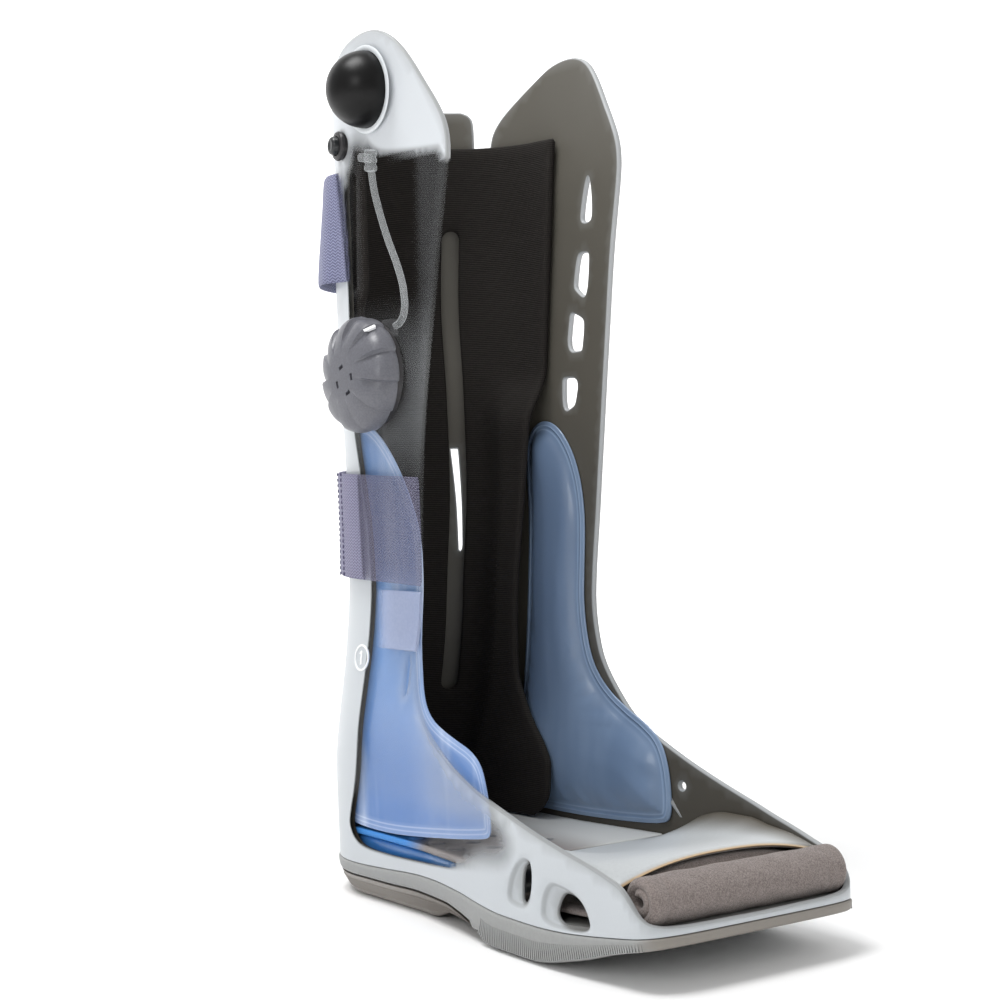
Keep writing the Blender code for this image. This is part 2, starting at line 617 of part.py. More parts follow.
# Liner: a padded wall round the back, held clear of the cells below and close to the shell above.
def liner_gap(q, z):
    side = min(1.0, max(0.0, (abs(q) - 48) / 26))
    side = side * side * (3 - 2 * side)
    low = min(1.0, max(0.0, (262 - z) / 30))
    low = low * low * (3 - 2 * low)
    return 1.6 + 9.6 * side * low


liner_z = [34.4, 41, 50, 62, 72, 82, 94, 110, 140, 175, 210, 234, 248, 266, 305, 345, 380]
outer_grid, inner_grid = [], []
for z in liner_z:
    centre = section(z)[0]
    far_q = 90 + centre - table(LINER_FRONT, z)
    near_y = 9.4 if 205 < z < 290 else 4.0
    near_q = 90 + centre - (near_y if z > 92 else min(4.0, table(LINER_FRONT, z)))
    qs = [-near_q] + [-90 + 9 * k for k in range(21)] + [far_q]
    outer_grid.append([(*skin(q, z, -WALL - liner_gap(q, z)), z) for q in qs])
    inner_grid.append([(*skin(q, z, -WALL - liner_gap(q, z) - LINER_THICK), z) for q in qs])
liner = slab("liner", outer_grid, inner_grid, "liner")
slot_cut = radial_box("slot", 35.0, 96.0, 336.0, 6.4, -22, 4)
combine(liner, [slot_cut], "DIFFERENCE")

# Toe fleece: a roll above the lip with a flat tail running back under the footplate.
roll = []
ROLL_Y, ROLL_Z, ROLL_R = -197.6, 36.4, 10.2
for k in range(17):
    a = math.radians(-100 - 250 * k / 16)
    roll.append((ROLL_Y + ROLL_R * math.cos(a), ROLL_Z + ROLL_R * math.sin(a)))
tail_top = [(-186.0, 31.5), (-170.0, 28.6), (-150.0, 27.0), (-130.0, 26.2), (-114.0, 26.0)]
tail_low = [(y, sole_line(y) + WALL + 1.0) for y in (-114.0, -130.0, -150.0, -170.0, -186.0, -194.0)]
outline = roll + tail_top + tail_low
ENDS = {47.0: 0.62, 44.0: 0.80, 37.0: 1.0}
rows = []
for x in (-47.0, -44.0, -37.0, 37.0, 44.0, 47.0):
    shrink = ENDS[abs(x)]
    my, mz = ROLL_Y, ROLL_Z
    rows.append([(x, my + (y - my) * (shrink if y < -188 else 1.0), mz + (z - mz) * (shrink if y < -188 else 1.0))
                 for y, z in outline])
n = len(outline)
verts = [p for row in rows for p in row]
faces = [tuple(range(n)), tuple(range(len(verts) - 1, len(verts) - n - 1, -1))]
for r in range(len(rows) - 1):
    for c in range(n):
        d = (c + 1) % n
        faces.append((r * n + c, r * n + d, (r + 1) * n + d, (r + 1) * n + c))
mesh_object("toe_fleece", verts, faces, "fleece")


# Straps: webbing carried round the shell's skin.
def webbing(name, stops, low, high, off, slot, thick=STRAP_THICK, rows_n=3):
    outer, inner = [], []
    for r in range(rows_n):
        t = r / (rows_n - 1)
        heights = [low(q) + (high(q) - low(q)) * t for q in stops]
        outer.append([(*skin(q, z, off(q) + thick), z) for q, z in zip(stops, heights)])
        inner.append([(*skin(q, z, off(q)), z) for q, z in zip(stops, heights)])
    return slab(name, outer, inner, slot)


def swell(edge, run, low, high):
    t = min(1.0, max(0.0, edge / run))
    return low + (high - low) * t * t * (3 - 2 * t)


def upper_offset(q):
    """Clear of the skin round the back, and turned into a slot at each end."""
    reach = min(q - UPPER_NEAR_Q, UPPER_FAR_Q - q)
    return -0.5 if reach < 0.1 else swell(reach - 2.5, 18, 0.8, 4.0)


upper_stops = [UPPER_NEAR_Q, -87.5, -83, -77] + [-70 + 10 * k for k in range(15)] + [75, 80.5, 85, 88.0]
webbing("upper_strap", upper_stops, lambda q: UPPER_Z[0], lambda q: UPPER_Z[1],
        upper_offset, "webbing")
middle_stops = [-139, -130, -120, -110, -100, -90, -82, -74, -66, -57, -48, -39, -30, -20, -10, 0, 9, 18]
webbing("middle_strap", middle_stops, lambda q: MIDDLE_Z[0] + 4 * min(1, (q + 139) / 100),
        lambda q: MIDDLE_Z[1] + 4 * min(1, (q + 139) / 100),
        lambda q: swell(q + 139, 60, 0.6, 2.6), "webbing")
webbing("side_guide", [-126, -116, -106, -96, -89], lambda q: 127.0, lambda q: 153.0, lambda q: 0.5, "guide", 1.6)

# Selector dial: a seat through the wall with a spindle, and a scalloped knob that turns on it.
seat = turned("dial_seat", [(0, -8.0), (19.7, -8.0), (19.7, 0.0), (DIAL_R, 0.0), (DIAL_R, 2.2), (27.0, 3.0),
                            (4.2, 3.0), (4.2, 10.0), (0, 10.0)], DIAL_AT, (-1, 0, 0), "dial_seat", 36)
port = prism("port", ((-19.6, 275.6), (-12.0, 275.6), (-12.0, 283.4), (-19.6, 283.4)), -52.7, -48.4, "dial_seat")
combine(seat, [port], "UNION")


def scallop(angle, radius):
    if radius < 18:
        return 1.0
    return 1.0 - 0.055 * (0.5 - 0.5 * math.cos(angle * 10)) ** 2


turned("dial", [(0, 10.5), (4.6, 10.5), (4.6, 3.4), (26.6, 3.4), (27.2, 5.0), (26.2, 9.0), (24.0, 12.4), (18.5, 14.6),
                (12.0, 15.6), (6.0, 16.0), (0, 16.1)], DIAL_AT, (-1, 0, 0), "dial", 40, scallop)

# Pump bulb: a hollow rubber dome open at its base, in a ring.
BULB_Y, BULB_Z = -15.0, 393.0
bx = half_width(BULB_Y, BULB_Z)
slope = (half_width(BULB_Y, BULB_Z + 15) - half_width(BULB_Y, BULB_Z - 15)) / 30
BULB_AXIS = Vector((-1, 0, -slope)).normalized()
BULB_AT = Vector((-bx, BULB_Y, BULB_Z)) + BULB_AXIS * 1.5
dome = [(BULB_R * math.cos(math.radians(a)), BULB_R * math.sin(math.radians(a))) for a in (0, 18, 36, 54, 72)]
hollow = [((BULB_R - 1.6) * math.cos(math.radians(a)), (BULB_R - 1.6) * math.sin(math.radians(a)))
          for a in (0, 22, 44, 66)]
turned("bulb", [(0, BULB_R - 1.6)] + hollow[::-1] + dome + [(0, BULB_R)], BULB_AT, BULB_AXIS, "bulb", 24)
turned("bulb_ring", [(BULB_R + GAP, 0.0), (21.6, 0.0), (21.6, 1.2), (20.6, 2.4), (BULB_R + GAP, 2.6)], BULB_AT,
       BULB_AXIS, "ring", 24)

# Release valve: a collar through the wall and a plunger that slides in it.
VALVE_AT = (vx, vy, VALVE_Z)
turned("valve_collar", [(4.7, -3.8), (6.0, -3.8), (6.0, 0.7), (7.0, 0.7), (7.0, 2.4), (6.2, 3.0), (4.7, 3.0)], VALVE_AT,
       VALVE_AXIS, "collar", 20)
turned("valve_button", [(0, -1.6), (4.4, -1.6), (4.4, 5.2), (3.4, 6.2), (0, 6.4)], VALVE_AT, VALVE_AXIS, "button", 20)

# Air tube: from a fitting in the wall down to the dial seat's port.
fx, fy = FITTING_AT
fitting = turned("tube_fitting", [(0, 356.4), (2.8, 356.4), (3.0, 358.0), (3.0, 366.0), (0, 366.0)], (fx, fy, 0),
                 (0, 0, 1), "ring", 14)
pin = turned("pin", [(0, 0), (2.0, 0), (2.0, 6.4), (0, 6.4)], (fx, fy, 362), (-1, 0, 0), "ring", 12)
combine(fitting, [pin], "UNION")
TUBE_YZ = ((-3.0, 355.9), (-4.4, 348.0), (-8.6, 336.0), (-15.0, 322.0), (-22.4, 308.4), (-26.6, 298.0), (-27.8, 290.0),
           (-26.6, 284.6), (-23.4, 281.2), (-20.2, 280.0))
path = []
for k in range(len(TUBE_YZ) - 1):
    for s in range(4):
        path.append((k + s / 4))
path.append(len(TUBE_YZ) - 1)
points = []
for value in path:
    y = table([(i, p[0]) for i, p in enumerate(TUBE_YZ)], value)
    z = table([(i, p[1]) for i, p in enumerate(TUBE_YZ)], value)
    blend = value / (len(TUBE_YZ) - 1)
    side = -(half_width(y, z) - WALL - 2.6 - (1.0 - blend))
    points.append((side, y, z))
curve = bpy.data.curves.new("tube", "CURVE")
curve.dimensions = "3D"
curve.bevel_depth = TUBE_R * MM
curve.bevel_resolution = 2
curve.use_fill_caps = True
spline = curve.splines.new("POLY")
spline.points.add(len(points) - 1)
for point, co in zip(spline.points, points):
    point.co = (co[0] * MM, co[1] * MM, co[2] * MM, 1.0)
tube = bpy.data.objects.new("tube", curve)
bpy.context.scene.collection.objects.link(tube)
curve.materials.append(material("clear_tube"))

for obj in bpy.data.objects:
    obj.data.name = obj.name
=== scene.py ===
# %% [markdown]
# # A medical walking boot
# The boot is a stiff open-front shell on a rocker sole. A black ribbed liner and two blue air cells hold the
# leg, a rubber bulb pumps air through a clear tube, and a dial selects the cell. The CAD model gives the frame:
# every piece below is made at its place on that frame, in millimetres, and turned into metres at the end.

# %% Load the frame
import bpy
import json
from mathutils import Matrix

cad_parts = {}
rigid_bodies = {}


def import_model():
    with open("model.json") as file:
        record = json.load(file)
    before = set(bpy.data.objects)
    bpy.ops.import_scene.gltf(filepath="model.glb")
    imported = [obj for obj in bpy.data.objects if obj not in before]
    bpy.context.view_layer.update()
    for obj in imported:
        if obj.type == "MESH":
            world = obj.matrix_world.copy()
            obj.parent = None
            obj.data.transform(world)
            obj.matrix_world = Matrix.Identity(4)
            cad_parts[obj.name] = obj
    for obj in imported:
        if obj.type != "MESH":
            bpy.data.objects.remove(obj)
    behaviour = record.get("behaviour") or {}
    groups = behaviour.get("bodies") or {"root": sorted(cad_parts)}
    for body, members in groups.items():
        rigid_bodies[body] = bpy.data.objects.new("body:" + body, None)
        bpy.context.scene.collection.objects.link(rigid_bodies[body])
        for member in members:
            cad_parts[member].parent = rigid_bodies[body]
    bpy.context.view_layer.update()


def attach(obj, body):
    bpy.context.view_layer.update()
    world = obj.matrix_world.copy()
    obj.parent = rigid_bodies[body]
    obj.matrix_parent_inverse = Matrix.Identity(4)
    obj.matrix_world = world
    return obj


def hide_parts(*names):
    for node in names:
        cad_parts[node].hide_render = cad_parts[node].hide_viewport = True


for old in list(bpy.data.objects):
    bpy.data.objects.remove(old, do_unlink=True)
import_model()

import json
import math

import bmesh
import numpy as np
from mathutils import Matrix, Vector, geometry

MM = 0.001
collection = bpy.context.scene.collection

# %% [markdown]
# ## The camera
# A photograph taken with a short telephoto lens, level with the middle of the calf. The camera is aimed first,
# because every later choice is judged through it. Its matrix is built from three angles and a distance.

# %% Camera
AZIMUTH, ELEVATION, ROLL = math.radians(-36.0), math.radians(0.7277), math.radians(-1.1275)
AIM = Vector((0.0, -0.0329, 0.1961))
DISTANCE = 0.9442
back = Vector((math.sin(AZIMUTH) * math.cos(ELEVATION), -math.cos(AZIMUTH) * math.cos(ELEVATION),
               math.sin(ELEVATION)))
level = Vector((math.cos(AZIMUTH), math.sin(AZIMUTH), 0.0))
upright = back.cross(level)
right = level * math.cos(ROLL) + upright * math.sin(ROLL)
up = upright * math.cos(ROLL) - level * math.sin(ROLL)
camera_data = bpy.data.cameras.new("camera")
camera_data.lens = 69.93
camera_data.sensor_width = 36.0
camera = bpy.data.objects.new("camera", camera_data)
camera.matrix_world = Matrix.Translation(AIM + back * DISTANCE) @ Matrix((right, up, back)).transposed().to_4x4()
collection.objects.link(camera)
bpy.context.scene.camera = camera
print("eye", [round(v, 4) for v in camera.matrix_world.translation])

# %% [markdown]
# ## Smooth tables
# The boot's width changes with height and along the foot. A short table of measured sections holds it, and a
# smooth line through the rows gives every value between them. The line never overshoots its rows, so a wall
# stays as plump as it was measured. It works on whole arrays at once, which keeps dense meshes quick.

# %% The smooth line and the measured sections
SIDE_Y = (-25.0, -50.0, -75.0, -110.0, -150.0, -190.0)
SECTIONS = np.array([
    # z, centre y, depth, half width, then the half widths at SIDE_Y
    (17.0, 27.0, 50.0, 50.0, 50.8, 53.4, 56.8, 61.2, 62.4, 61.2),
    (60.0, 26.0, 51.0, 51.5, 53.4, 56.2, 58.8, 61.0, 61.6, 60.8),
    (95.0, 16.0, 53.0, 54.0, 55.7, 58.2, 59.4, 60.6, 60.6, 60.0),
    (120.0, 11.0, 52.5, 53.6, 53.8, 54.6, 55.6, 56.4, 57.0, 57.0),
    (150.0, 7.0, 53.0, 53.2, 52.5, 51.5, 50.6, 50.0, 50.0, 50.0),
    (200.0, 4.5, 52.5, 55.0, 54.3, 52.8, 51.0, 50.0, 50.0, 50.0),
    (250.0, 5.0, 54.5, 56.4, 55.5, 54.0, 51.8, 50.0, 50.0, 50.0),
    (300.0, 6.0, 57.5, 56.9, 55.8, 53.8, 51.0, 50.0, 50.0, 50.0),
    (350.0, 4.0, 57.0, 57.6, 56.2, 53.6, 51.3, 50.0, 50.0, 50.0),
    (385.0, 2.0, 58.0, 59.6, 58.6, 55.6, 52.0, 50.0, 50.0, 50.0),
    (425.0, 1.0, 59.0, 62.3, 62.0, 58.5, 54.0, 52.0, 52.0, 52.0),
])
TOE_Y, TOE_CORNER_Y = -212.0, -186.0
TOE_SQUARE = 5.0
WALL = 3.0


def smooth(xs, ys, x):
    """Values at x of the smooth line through the rows. xs and ys may hold a row for each x."""
    x = np.atleast_1d(np.asarray(x, float))
    xs = np.broadcast_to(np.asarray(xs, float), (len(x), np.shape(xs)[-1]))
    ys = np.broadcast_to(np.asarray(ys, float), xs.shape)
    h = np.diff(xs, axis=1)
    step = np.diff(ys, axis=1) / h
    a, b = step[:, :-1], step[:, 1:]
    middle = np.where(a * b > 0, 2 * a * b / np.where(a * b > 0, a + b, 1.0), 0.0)
    slope = np.concatenate([step[:, :1], middle, step[:, -1:]], axis=1)
    i = np.clip((xs[:, 1:-1] <= x[:, None]).sum(axis=1), 0, xs.shape[1] - 2)
    rows = np.arange(len(x))
    width = h[rows, i]
    t = np.clip((x - xs[rows, i]) / width, 0.0, 1.0)
    return ((2 * t**3 - 3 * t**2 + 1) * ys[rows, i] + (t**3 - 2 * t**2 + t) * width * slope[rows, i]
            + (3 * t**2 - 2 * t**3) * ys[rows, i + 1] + (t**3 - t**2) * width * slope[rows, i + 1])


def table(rows, x):
    """Values at x from a table of (x, value) rows."""
    rows = np.array(sorted(rows), float)
    return smooth(rows[:, 0], rows[:, 1], x)


def section(z):
    """Centre y, depth, half width and the forward half widths at the heights z."""
    found = [smooth(SECTIONS[:, 0], SECTIONS[:, k], z) for k in range(1, SECTIONS.shape[1])]
    return found[0], found[1], found[2], np.stack(found[3:], axis=1)


def half_width(y, z):
    """Outer half width of the shell at the points (y, z) of its side view."""
    y, z = np.broadcast_arrays(np.atleast_1d(np.asarray(y, float)), np.atleast_1d(np.asarray(z, float)))
    centre, depth, half, side = section(z)
    rear = half * np.sqrt(np.clip(1 - ((y - centre) / depth) ** 2, 0, 1))
    xs = np.concatenate([np.broadcast_to(SIDE_Y[::-1], (len(y), 6)), centre[:, None], centre[:, None] + 12], axis=1)
    ys = np.concatenate([side[:, ::-1], half[:, None], half[:, None]], axis=1)
    front = smooth(xs, ys, np.maximum(y, SIDE_Y[-1]))
    share = np.clip((TOE_CORNER_Y - y) / (TOE_CORNER_Y - TOE_Y), 0, 1)
    front = front * np.clip(1 - share**TOE_SQUARE, 0, 1) ** (1 / TOE_SQUARE)
    return np.where(y >= centre, rear, front)


print("half width at the calf", np.round(half_width([-20, 0, 30], [300, 300, 300]), 1))

# %% [markdown]
# ## Walking round the wall
# Everything on the boot follows its wall, so a place on the wall is given by two numbers, as on a label
# unrolled from a jar: the run round the wall from the middle of the heel, and the height. Runs are negative on
# the near side. One function turns a run and a height into a point, pushed in or out by an offset.

# %% Points on the wall
HEEL_RUN, SIDE_RUN, TOE_RUN = 83.0, 195.0, 75.0
FULL_RUN = HEEL_RUN + SIDE_RUN + TOE_RUN


def flat_point(run, z):
    """The skin's x and y at a run and height, turning the corner past the toe's middle."""
    size, sign = np.abs(run), np.where(run < 0, -1.0, 1.0)
    past = size > FULL_RUN
    size, sign = np.where(past, 2 * FULL_RUN - size, size), np.where(past, -sign, sign)
    centre, depth, half, _ = section(z)
    angle = np.radians(90 * np.clip(size / HEEL_RUN, 0, 1))
    toe = np.radians(90 * np.clip(1 - (size - HEEL_RUN - SIDE_RUN) / TOE_RUN, 0, 1))
    side_y = centre + (TOE_CORNER_Y - centre) * np.clip((size - HEEL_RUN) / SIDE_RUN, 0, 1)
    toe_y = TOE_CORNER_Y + (TOE_Y - TOE_CORNER_Y) * np.cos(toe) ** 0.8
    y = np.where(size <= HEEL_RUN + SIDE_RUN, side_y, toe_y)
    y = np.where(size <= HEEL_RUN, centre + depth * np.cos(angle), y)
    x = np.where(size <= HEEL_RUN, half * np.sin(angle), half_width(np.maximum(y, TOE_Y), z))
    return sign * x, y


def on_wall(run, z, offset=0.0):
    """Points (x, y, z) at runs and heights, pushed out of the wall's skin by the offset."""
    run, z, offset = np.broadcast_arrays(*(np.atleast_1d(np.asarray(v, float)) for v in (run, z, offset)))
    x, y = flat_point(run, z)
    x0, y0 = flat_point(run - 0.9, z)
    x1, y1 = flat_point(run + 0.9, z)
    length = np.maximum(np.hypot(x1 - x0, y1 - y0), 1e-6)
    return np.stack([x - (y1 - y0) / length * offset, y + (x1 - x0) / length * offset, z], axis=1)


def run_of(y, z, sign=1.0):
    """The run of a point of the side view."""
    y, z = np.atleast_1d(np.asarray(y, float)), np.atleast_1d(np.asarray(z, float))
    centre, depth, _, _ = section(z)
    rear = HEEL_RUN * np.degrees(np.arccos(np.clip((y - centre) / depth, -1, 1))) / 90
    side = HEEL_RUN + SIDE_RUN * (centre - y) / (centre - TOE_CORNER_Y)
    share = np.clip((TOE_CORNER_Y - y) / (TOE_CORNER_Y - TOE_Y), 0, 1) ** 1.25
    toe = FULL_RUN - TOE_RUN * np.degrees(np.arccos(share)) / 90
    return sign * np.where(y > centre, rear, np.where(y > TOE_CORNER_Y, side, toe))


def wall_run(q):
    """The run at a place q of the CAD model: degrees round the heel up to 90, and mm in front of that."""
    q = np.asarray(q, float)
    return np.sign(q) * np.where(np.abs(q) <= 90, np.abs(q) * HEEL_RUN / 90, HEEL_RUN + np.abs(q) - 90)


check = on_wall([-100, 0, 100], [200, 200, 200])
print("near, heel and far points at z 200", np.round(check, 1).tolist())

# %% [markdown]
# ## Nets that fill an outline
# Moulded walls, pads and plates are all cut from an outline, with holes in it. A grid of squares would leave
# stair steps along a curved rim, and Boolean cuts leave knife edges. So each outline is filled with a
# triangle net whose points follow every edge in close rows. The rows are what round the rims.

# %% Outlines
def corner_cut(points, times=2, closed=True):
    """A smoother line, made by cutting each corner at a quarter of its sides."""
    points = np.array(points, float)
    for _ in range(times):
        nxt = np.roll(points, -1, axis=0) if closed else points[1:]
        here = points if closed else points[:-1]
        pair = np.stack([0.75 * here + 0.25 * nxt, 0.25 * here + 0.75 * nxt], axis=1).reshape(-1, 2)
        points = pair if closed else np.vstack([points[:1], pair, points[-1:]])
    return points


def resample(points, step, closed=False):
    """Points at an even step along a line, with its ends kept."""
    points = np.array(points, float)
    if closed:
        points = np.vstack([points, points[:1]])
    along = np.concatenate([[0], np.cumsum(np.linalg.norm(np.diff(points, axis=0), axis=1))])
    count = max(3 if closed else 1, int(math.ceil(along[-1] / step)))
    at = np.linspace(0, along[-1], count + 1)
    line = np.stack([np.interp(at, along, points[:, k]) for k in range(points.shape[1])], axis=1)
    return line[:-1] if closed else line


def chunked(points, work, size=1200):
    """The work done on a few points at a time, which keeps its arrays small."""
    parts = [work(points[i:i + size]) for i in range(0, len(points), size)]
    return np.concatenate(parts) if parts else np.zeros(0)


def distance_to(points, segments):
    """Distance of each point from the nearest segment, where a segment is (start, end)."""
    a, d = segments[:, 0], segments[:, 1] - segments[:, 0]
    length = np.maximum((d**2).sum(axis=1), 1e-12)

    def work(p):
        t = np.clip(((p[:, None] - a) * d).sum(axis=2) / length, 0, 1)
        return np.sqrt((((p[:, None] - a) - t[..., None] * d) ** 2).sum(axis=2)).min(axis=1)

    return chunked(points, work)


def is_inside(points, segments):
    """True where a point lies within the closed loops that the segments form."""
    a, b = segments[:, 0], segments[:, 1]

    def work(p):
        x, y = p[:, :1], p[:, 1:]
        crosses = (a[:, 1] > y) != (b[:, 1] > y)
        rise = np.where(crosses, b[:, 1] - a[:, 1], 1.0)
        return ((crosses & (x < a[:, 0] + (y - a[:, 1]) * (b[:, 0] - a[:, 0]) / rise)).sum(axis=1) % 2) == 1

    return chunked(points, work).astype(bool)


def loop_segments(loop):
    return np.stack([loop, np.roll(loop, -1, axis=0)], axis=1)


print("a square's corner-cut loop has", len(corner_cut([(0, 0), (1, 0), (1, 1), (0, 1)])), "points")

# %% The net
def net(loops, spacing, rows=(0.13, 0.5, 1.0), soft=None, marks=()):
    """Fills closed loops with triangles and returns points, triangles and each point's distance from the edge.

    rows are the distances of the close rows from an edge. soft says which points of an edge aren't a real
    edge, so that no rows follow them and no distance counts from them. marks are further lines to follow.
    """
    segments = np.concatenate([loop_segments(l) for l in loops])
    hard = segments if soft is None else segments[~(soft(segments[:, 0]) & soft(segments[:, 1]))]
    points, edges = [], []

    def add(line, closed):
        base = len(points)
        points.extend(line.tolist())
        count = len(line)
        edges.extend((base + k, base + (k + 1) % count) for k in range(count if closed else count - 1))

    for loop in loops:
        add(loop, True)
    for loop in loops:
        ahead, behind = np.roll(loop, -1, axis=0) - loop, loop - np.roll(loop, 1, axis=0)
        tangent = ahead / np.linalg.norm(ahead, axis=1)[:, None] + behind / np.linalg.norm(behind, axis=1)[:, None]
        tangent /= np.maximum(np.linalg.norm(tangent, axis=1)[:, None], 1e-9)
        normal = np.stack([-tangent[:, 1], tangent[:, 0]], axis=1)
        if not is_inside(loop[:1] + normal[:1] * 0.05, segments)[0]:
            normal = -normal
        for row in rows:
            line = loop + normal * row
            good = is_inside(line, segments) & (distance_to(line, segments) > row * 0.93)
            base = len(points)
            index = np.cumsum(good) - 1 + base
            points.extend(line[good].tolist())
            count = len(line)
            edges.extend((int(index[k]), int(index[(k + 1) % count])) for k in range(count)
                         if good[k] and good[(k + 1) % count])
    for line in marks:
        add(np.asarray(line, float), True)
    low, high = segments.min(axis=(0, 1)), segments.max(axis=(0, 1))
    high_step = spacing * math.sqrt(3) / 2
    grid = [(low[0] + (i + 0.5 * (j % 2)) * spacing, low[1] + j * high_step)
            for j in range(int((high[1] - low[1]) / high_step) + 2)
            for i in range(int((high[0] - low[0]) / spacing) + 2)]
    grid = np.array(grid)
    grid = grid[is_inside(grid, segments)]
    grid = grid[distance_to(grid, segments) > rows[-1] + 0.45 * spacing]
    if marks:
        grid = grid[distance_to(grid, np.concatenate([loop_segments(np.asarray(m, float)) for m in marks])) > 0.6]
    points.extend(grid.tolist())
    made = geometry.delaunay_2d_cdt([Vector(p) for p in points], edges, [], 0, 1e-5, False)
    flat = np.array([tuple(v) for v in made[0]])
    tris = np.array([f for f in made[2] if len(f) == 3])
    tris = tris[is_inside(flat[tris].mean(axis=1), segments)]
    used, tris = np.unique(tris, return_inverse=True)
    flat, tris = flat[used], tris.reshape(-1, 3)
    a, b, c = flat[tris[:, 0]], flat[tris[:, 1]], flat[tris[:, 2]]
    area = (b[:, 0] - a[:, 0]) * (c[:, 1] - a[:, 1]) - (b[:, 1] - a[:, 1]) * (c[:, 0] - a[:, 0])
    tris[area < 0] = tris[area < 0][:, ::-1]
    tris = tris[np.abs(area) > 1e-9]
    return flat, tris, distance_to(flat, hard)


def weld_ends(flat, tris, run):
    """Joins the net's two ends, at plus and minus the run, so that it closes round the boot."""
    ends = {round(float(z), 3): i for i, (x, z) in enumerate(flat) if abs(x + run) < 1e-3}
    swap = np.arange(len(flat))
    for i, (x, z) in enumerate(flat):
        if abs(x - run) < 1e-3 and round(float(z), 3) in ends:
            swap[i] = ends[round(float(z), 3)]
    return swap[tris]


def border(tris):
    """The directed edges that only one triangle uses."""
    edges = np.concatenate([tris[:, [0, 1]], tris[:, [1, 2]], tris[:, [2, 0]]])
    there = {(int(a), int(b)) for a, b in edges}
    return [(a, b) for a, b in there if (b, a) not in there]


def rounded(distance, radius):
    """How far a surface drops towards its edge, for a quarter-round edge of that radius."""
    d = np.clip(distance, 0, radius)
    return radius - np.sqrt(np.clip(radius**2 - (radius - d) ** 2, 0, None))


# %% [markdown]
# ## From nets to solids
# A solid is two copies of the net, an outer and an inner skin, stitched along the edge. The mesh object's
# points are in metres and its origin is the world's, so that a pattern in object coordinates stays still.

# %% Mesh objects
def mesh_piece(name, verts, faces, finish, attributes=None, sharp=48):
    """A mesh object from points in millimetres, with its faces turned outwards."""
    mesh = bpy.data.meshes.new(name)
    mesh.from_pydata((np.asarray(verts, float) * MM).tolist(), [], [tuple(int(i) for i in f) for f in faces])
    for key, values in (attributes or {}).items():
        mesh.attributes.new(key, "FLOAT", "POINT").data.foreach_set("value", np.asarray(values, np.float32))
    bm = bmesh.new()
    bm.from_mesh(mesh)
    bmesh.ops.remove_doubles(bm, verts=bm.verts, dist=1e-7)
    bmesh.ops.recalc_face_normals(bm, faces=bm.faces)
    bm.to_mesh(mesh)
    bm.free()
    mesh.shade_smooth()
    mesh.set_sharp_from_angle(angle=math.radians(sharp))
    mesh.materials.append(finish.material)
    obj = bpy.data.objects.new(name, mesh)
    collection.objects.link(obj)
    return obj


def shell_solid(name, tris, outer, inner, finish, attributes=None, sharp=48):
    """A closed solid between two skins that share a net."""
    count = len(outer)
    faces = tris.tolist() + (tris[:, ::-1] + count).tolist()
    faces += [(b, a, a + count, b + count) for a, b in border(tris)]
    both = {k: np.concatenate(v) for k, v in (attributes or {}).items()}
    return mesh_piece(name, np.vstack([outer, inner]), faces, finish, both, sharp)


def loft(rows, closed=True, caps=True):
    """Points and faces of a skin through rows of points. caps closes its two ends with a fan."""
    count = len(rows[0])
    verts = np.concatenate([np.asarray(r, float) for r in rows])
    faces = []
    for r in range(len(rows) - 1):
        for c in range(count if closed else count - 1):
            d = (c + 1) % count
            faces.append((r * count + c, r * count + d, (r + 1) * count + d, (r + 1) * count + c))
    if caps:
        for r, flip in ((0, True), (len(rows) - 1, False)):
            middle = len(verts)
            verts = np.vstack([verts, np.asarray(rows[r], float).mean(axis=0)])
            for c in range(count):
                d = (c + 1) % count
                tri = (r * count + c, r * count + d, middle)
                faces.append(tri[::-1] if flip else tri)
    return verts, faces


def sheet_faces(rows, cols):
    """Faces of a closed sheet whose two skins are grids of rows by cols points, one after the other."""
    total = rows * cols
    index = np.arange(total).reshape(rows, cols)
    quads = np.stack([index[:-1, :-1], index[:-1, 1:], index[1:, 1:], index[1:, :-1]], axis=-1).reshape(-1, 4)
    ring = np.concatenate([index[0, :-1], index[:-1, -1], index[-1, :0:-1], index[:0:-1, 0]])
    faces = quads.tolist() + (quads[:, ::-1] + total).tolist()
    return faces + [(int(a), int(b), int(b) + total, int(a) + total) for a, b in zip(ring, np.roll(ring, -1))]


def turned(profile, at, axis, steps=64, shape=None):
    """Points and faces turned round an axis from (radius, height) rows. shape(angle, r, h) moves a point."""
    axis = Vector(axis).normalized()
    spin = np.array(Vector((0, 0, 1)).rotation_difference(axis).to_matrix())
    ring = profile[0][0] > 0
    verts, index, faces = [], [], []
    for r, h in profile:
        row = []
        for s in range(1 if r == 0 else steps):
            a = 2 * math.pi * s / steps
            rr, hh = shape(a, r, h) if shape else (r, h)
            row.append(len(verts))
            verts.append((rr * math.cos(a), rr * math.sin(a), hh))
        index.append(row)
    for low, high in list(zip(index, index[1:])) + ([(index[-1], index[0])] if ring else []):
        for s in range(steps):
            t = (s + 1) % steps
            if len(low) == 1 and len(high) == 1:
                continue
            if len(low) == 1:
                faces.append((low[0], high[s], high[t]))
            elif len(high) == 1:
                faces.append((low[s], low[t], high[0]))
            else:
                faces.append((low[s], low[t], high[t], high[s]))
    return np.array(verts) @ spin.T + np.array(at, float), faces


def dense_profile(points, step=0.5, cuts=1):
    """A finer profile, with its corners slightly rounded."""
    line = corner_cut(points, cuts, closed=False)
    line[0], line[-1] = points[0], points[-1]
    return [tuple(p) for p in resample(line, step)]


# %% [markdown]
# ## Shader maths as Python
# A finish is easier to read as arithmetic than as a list of nodes. A Signal wraps one socket, and adding or
# multiplying signals adds the Math nodes. Every other node comes from one method of the finish.

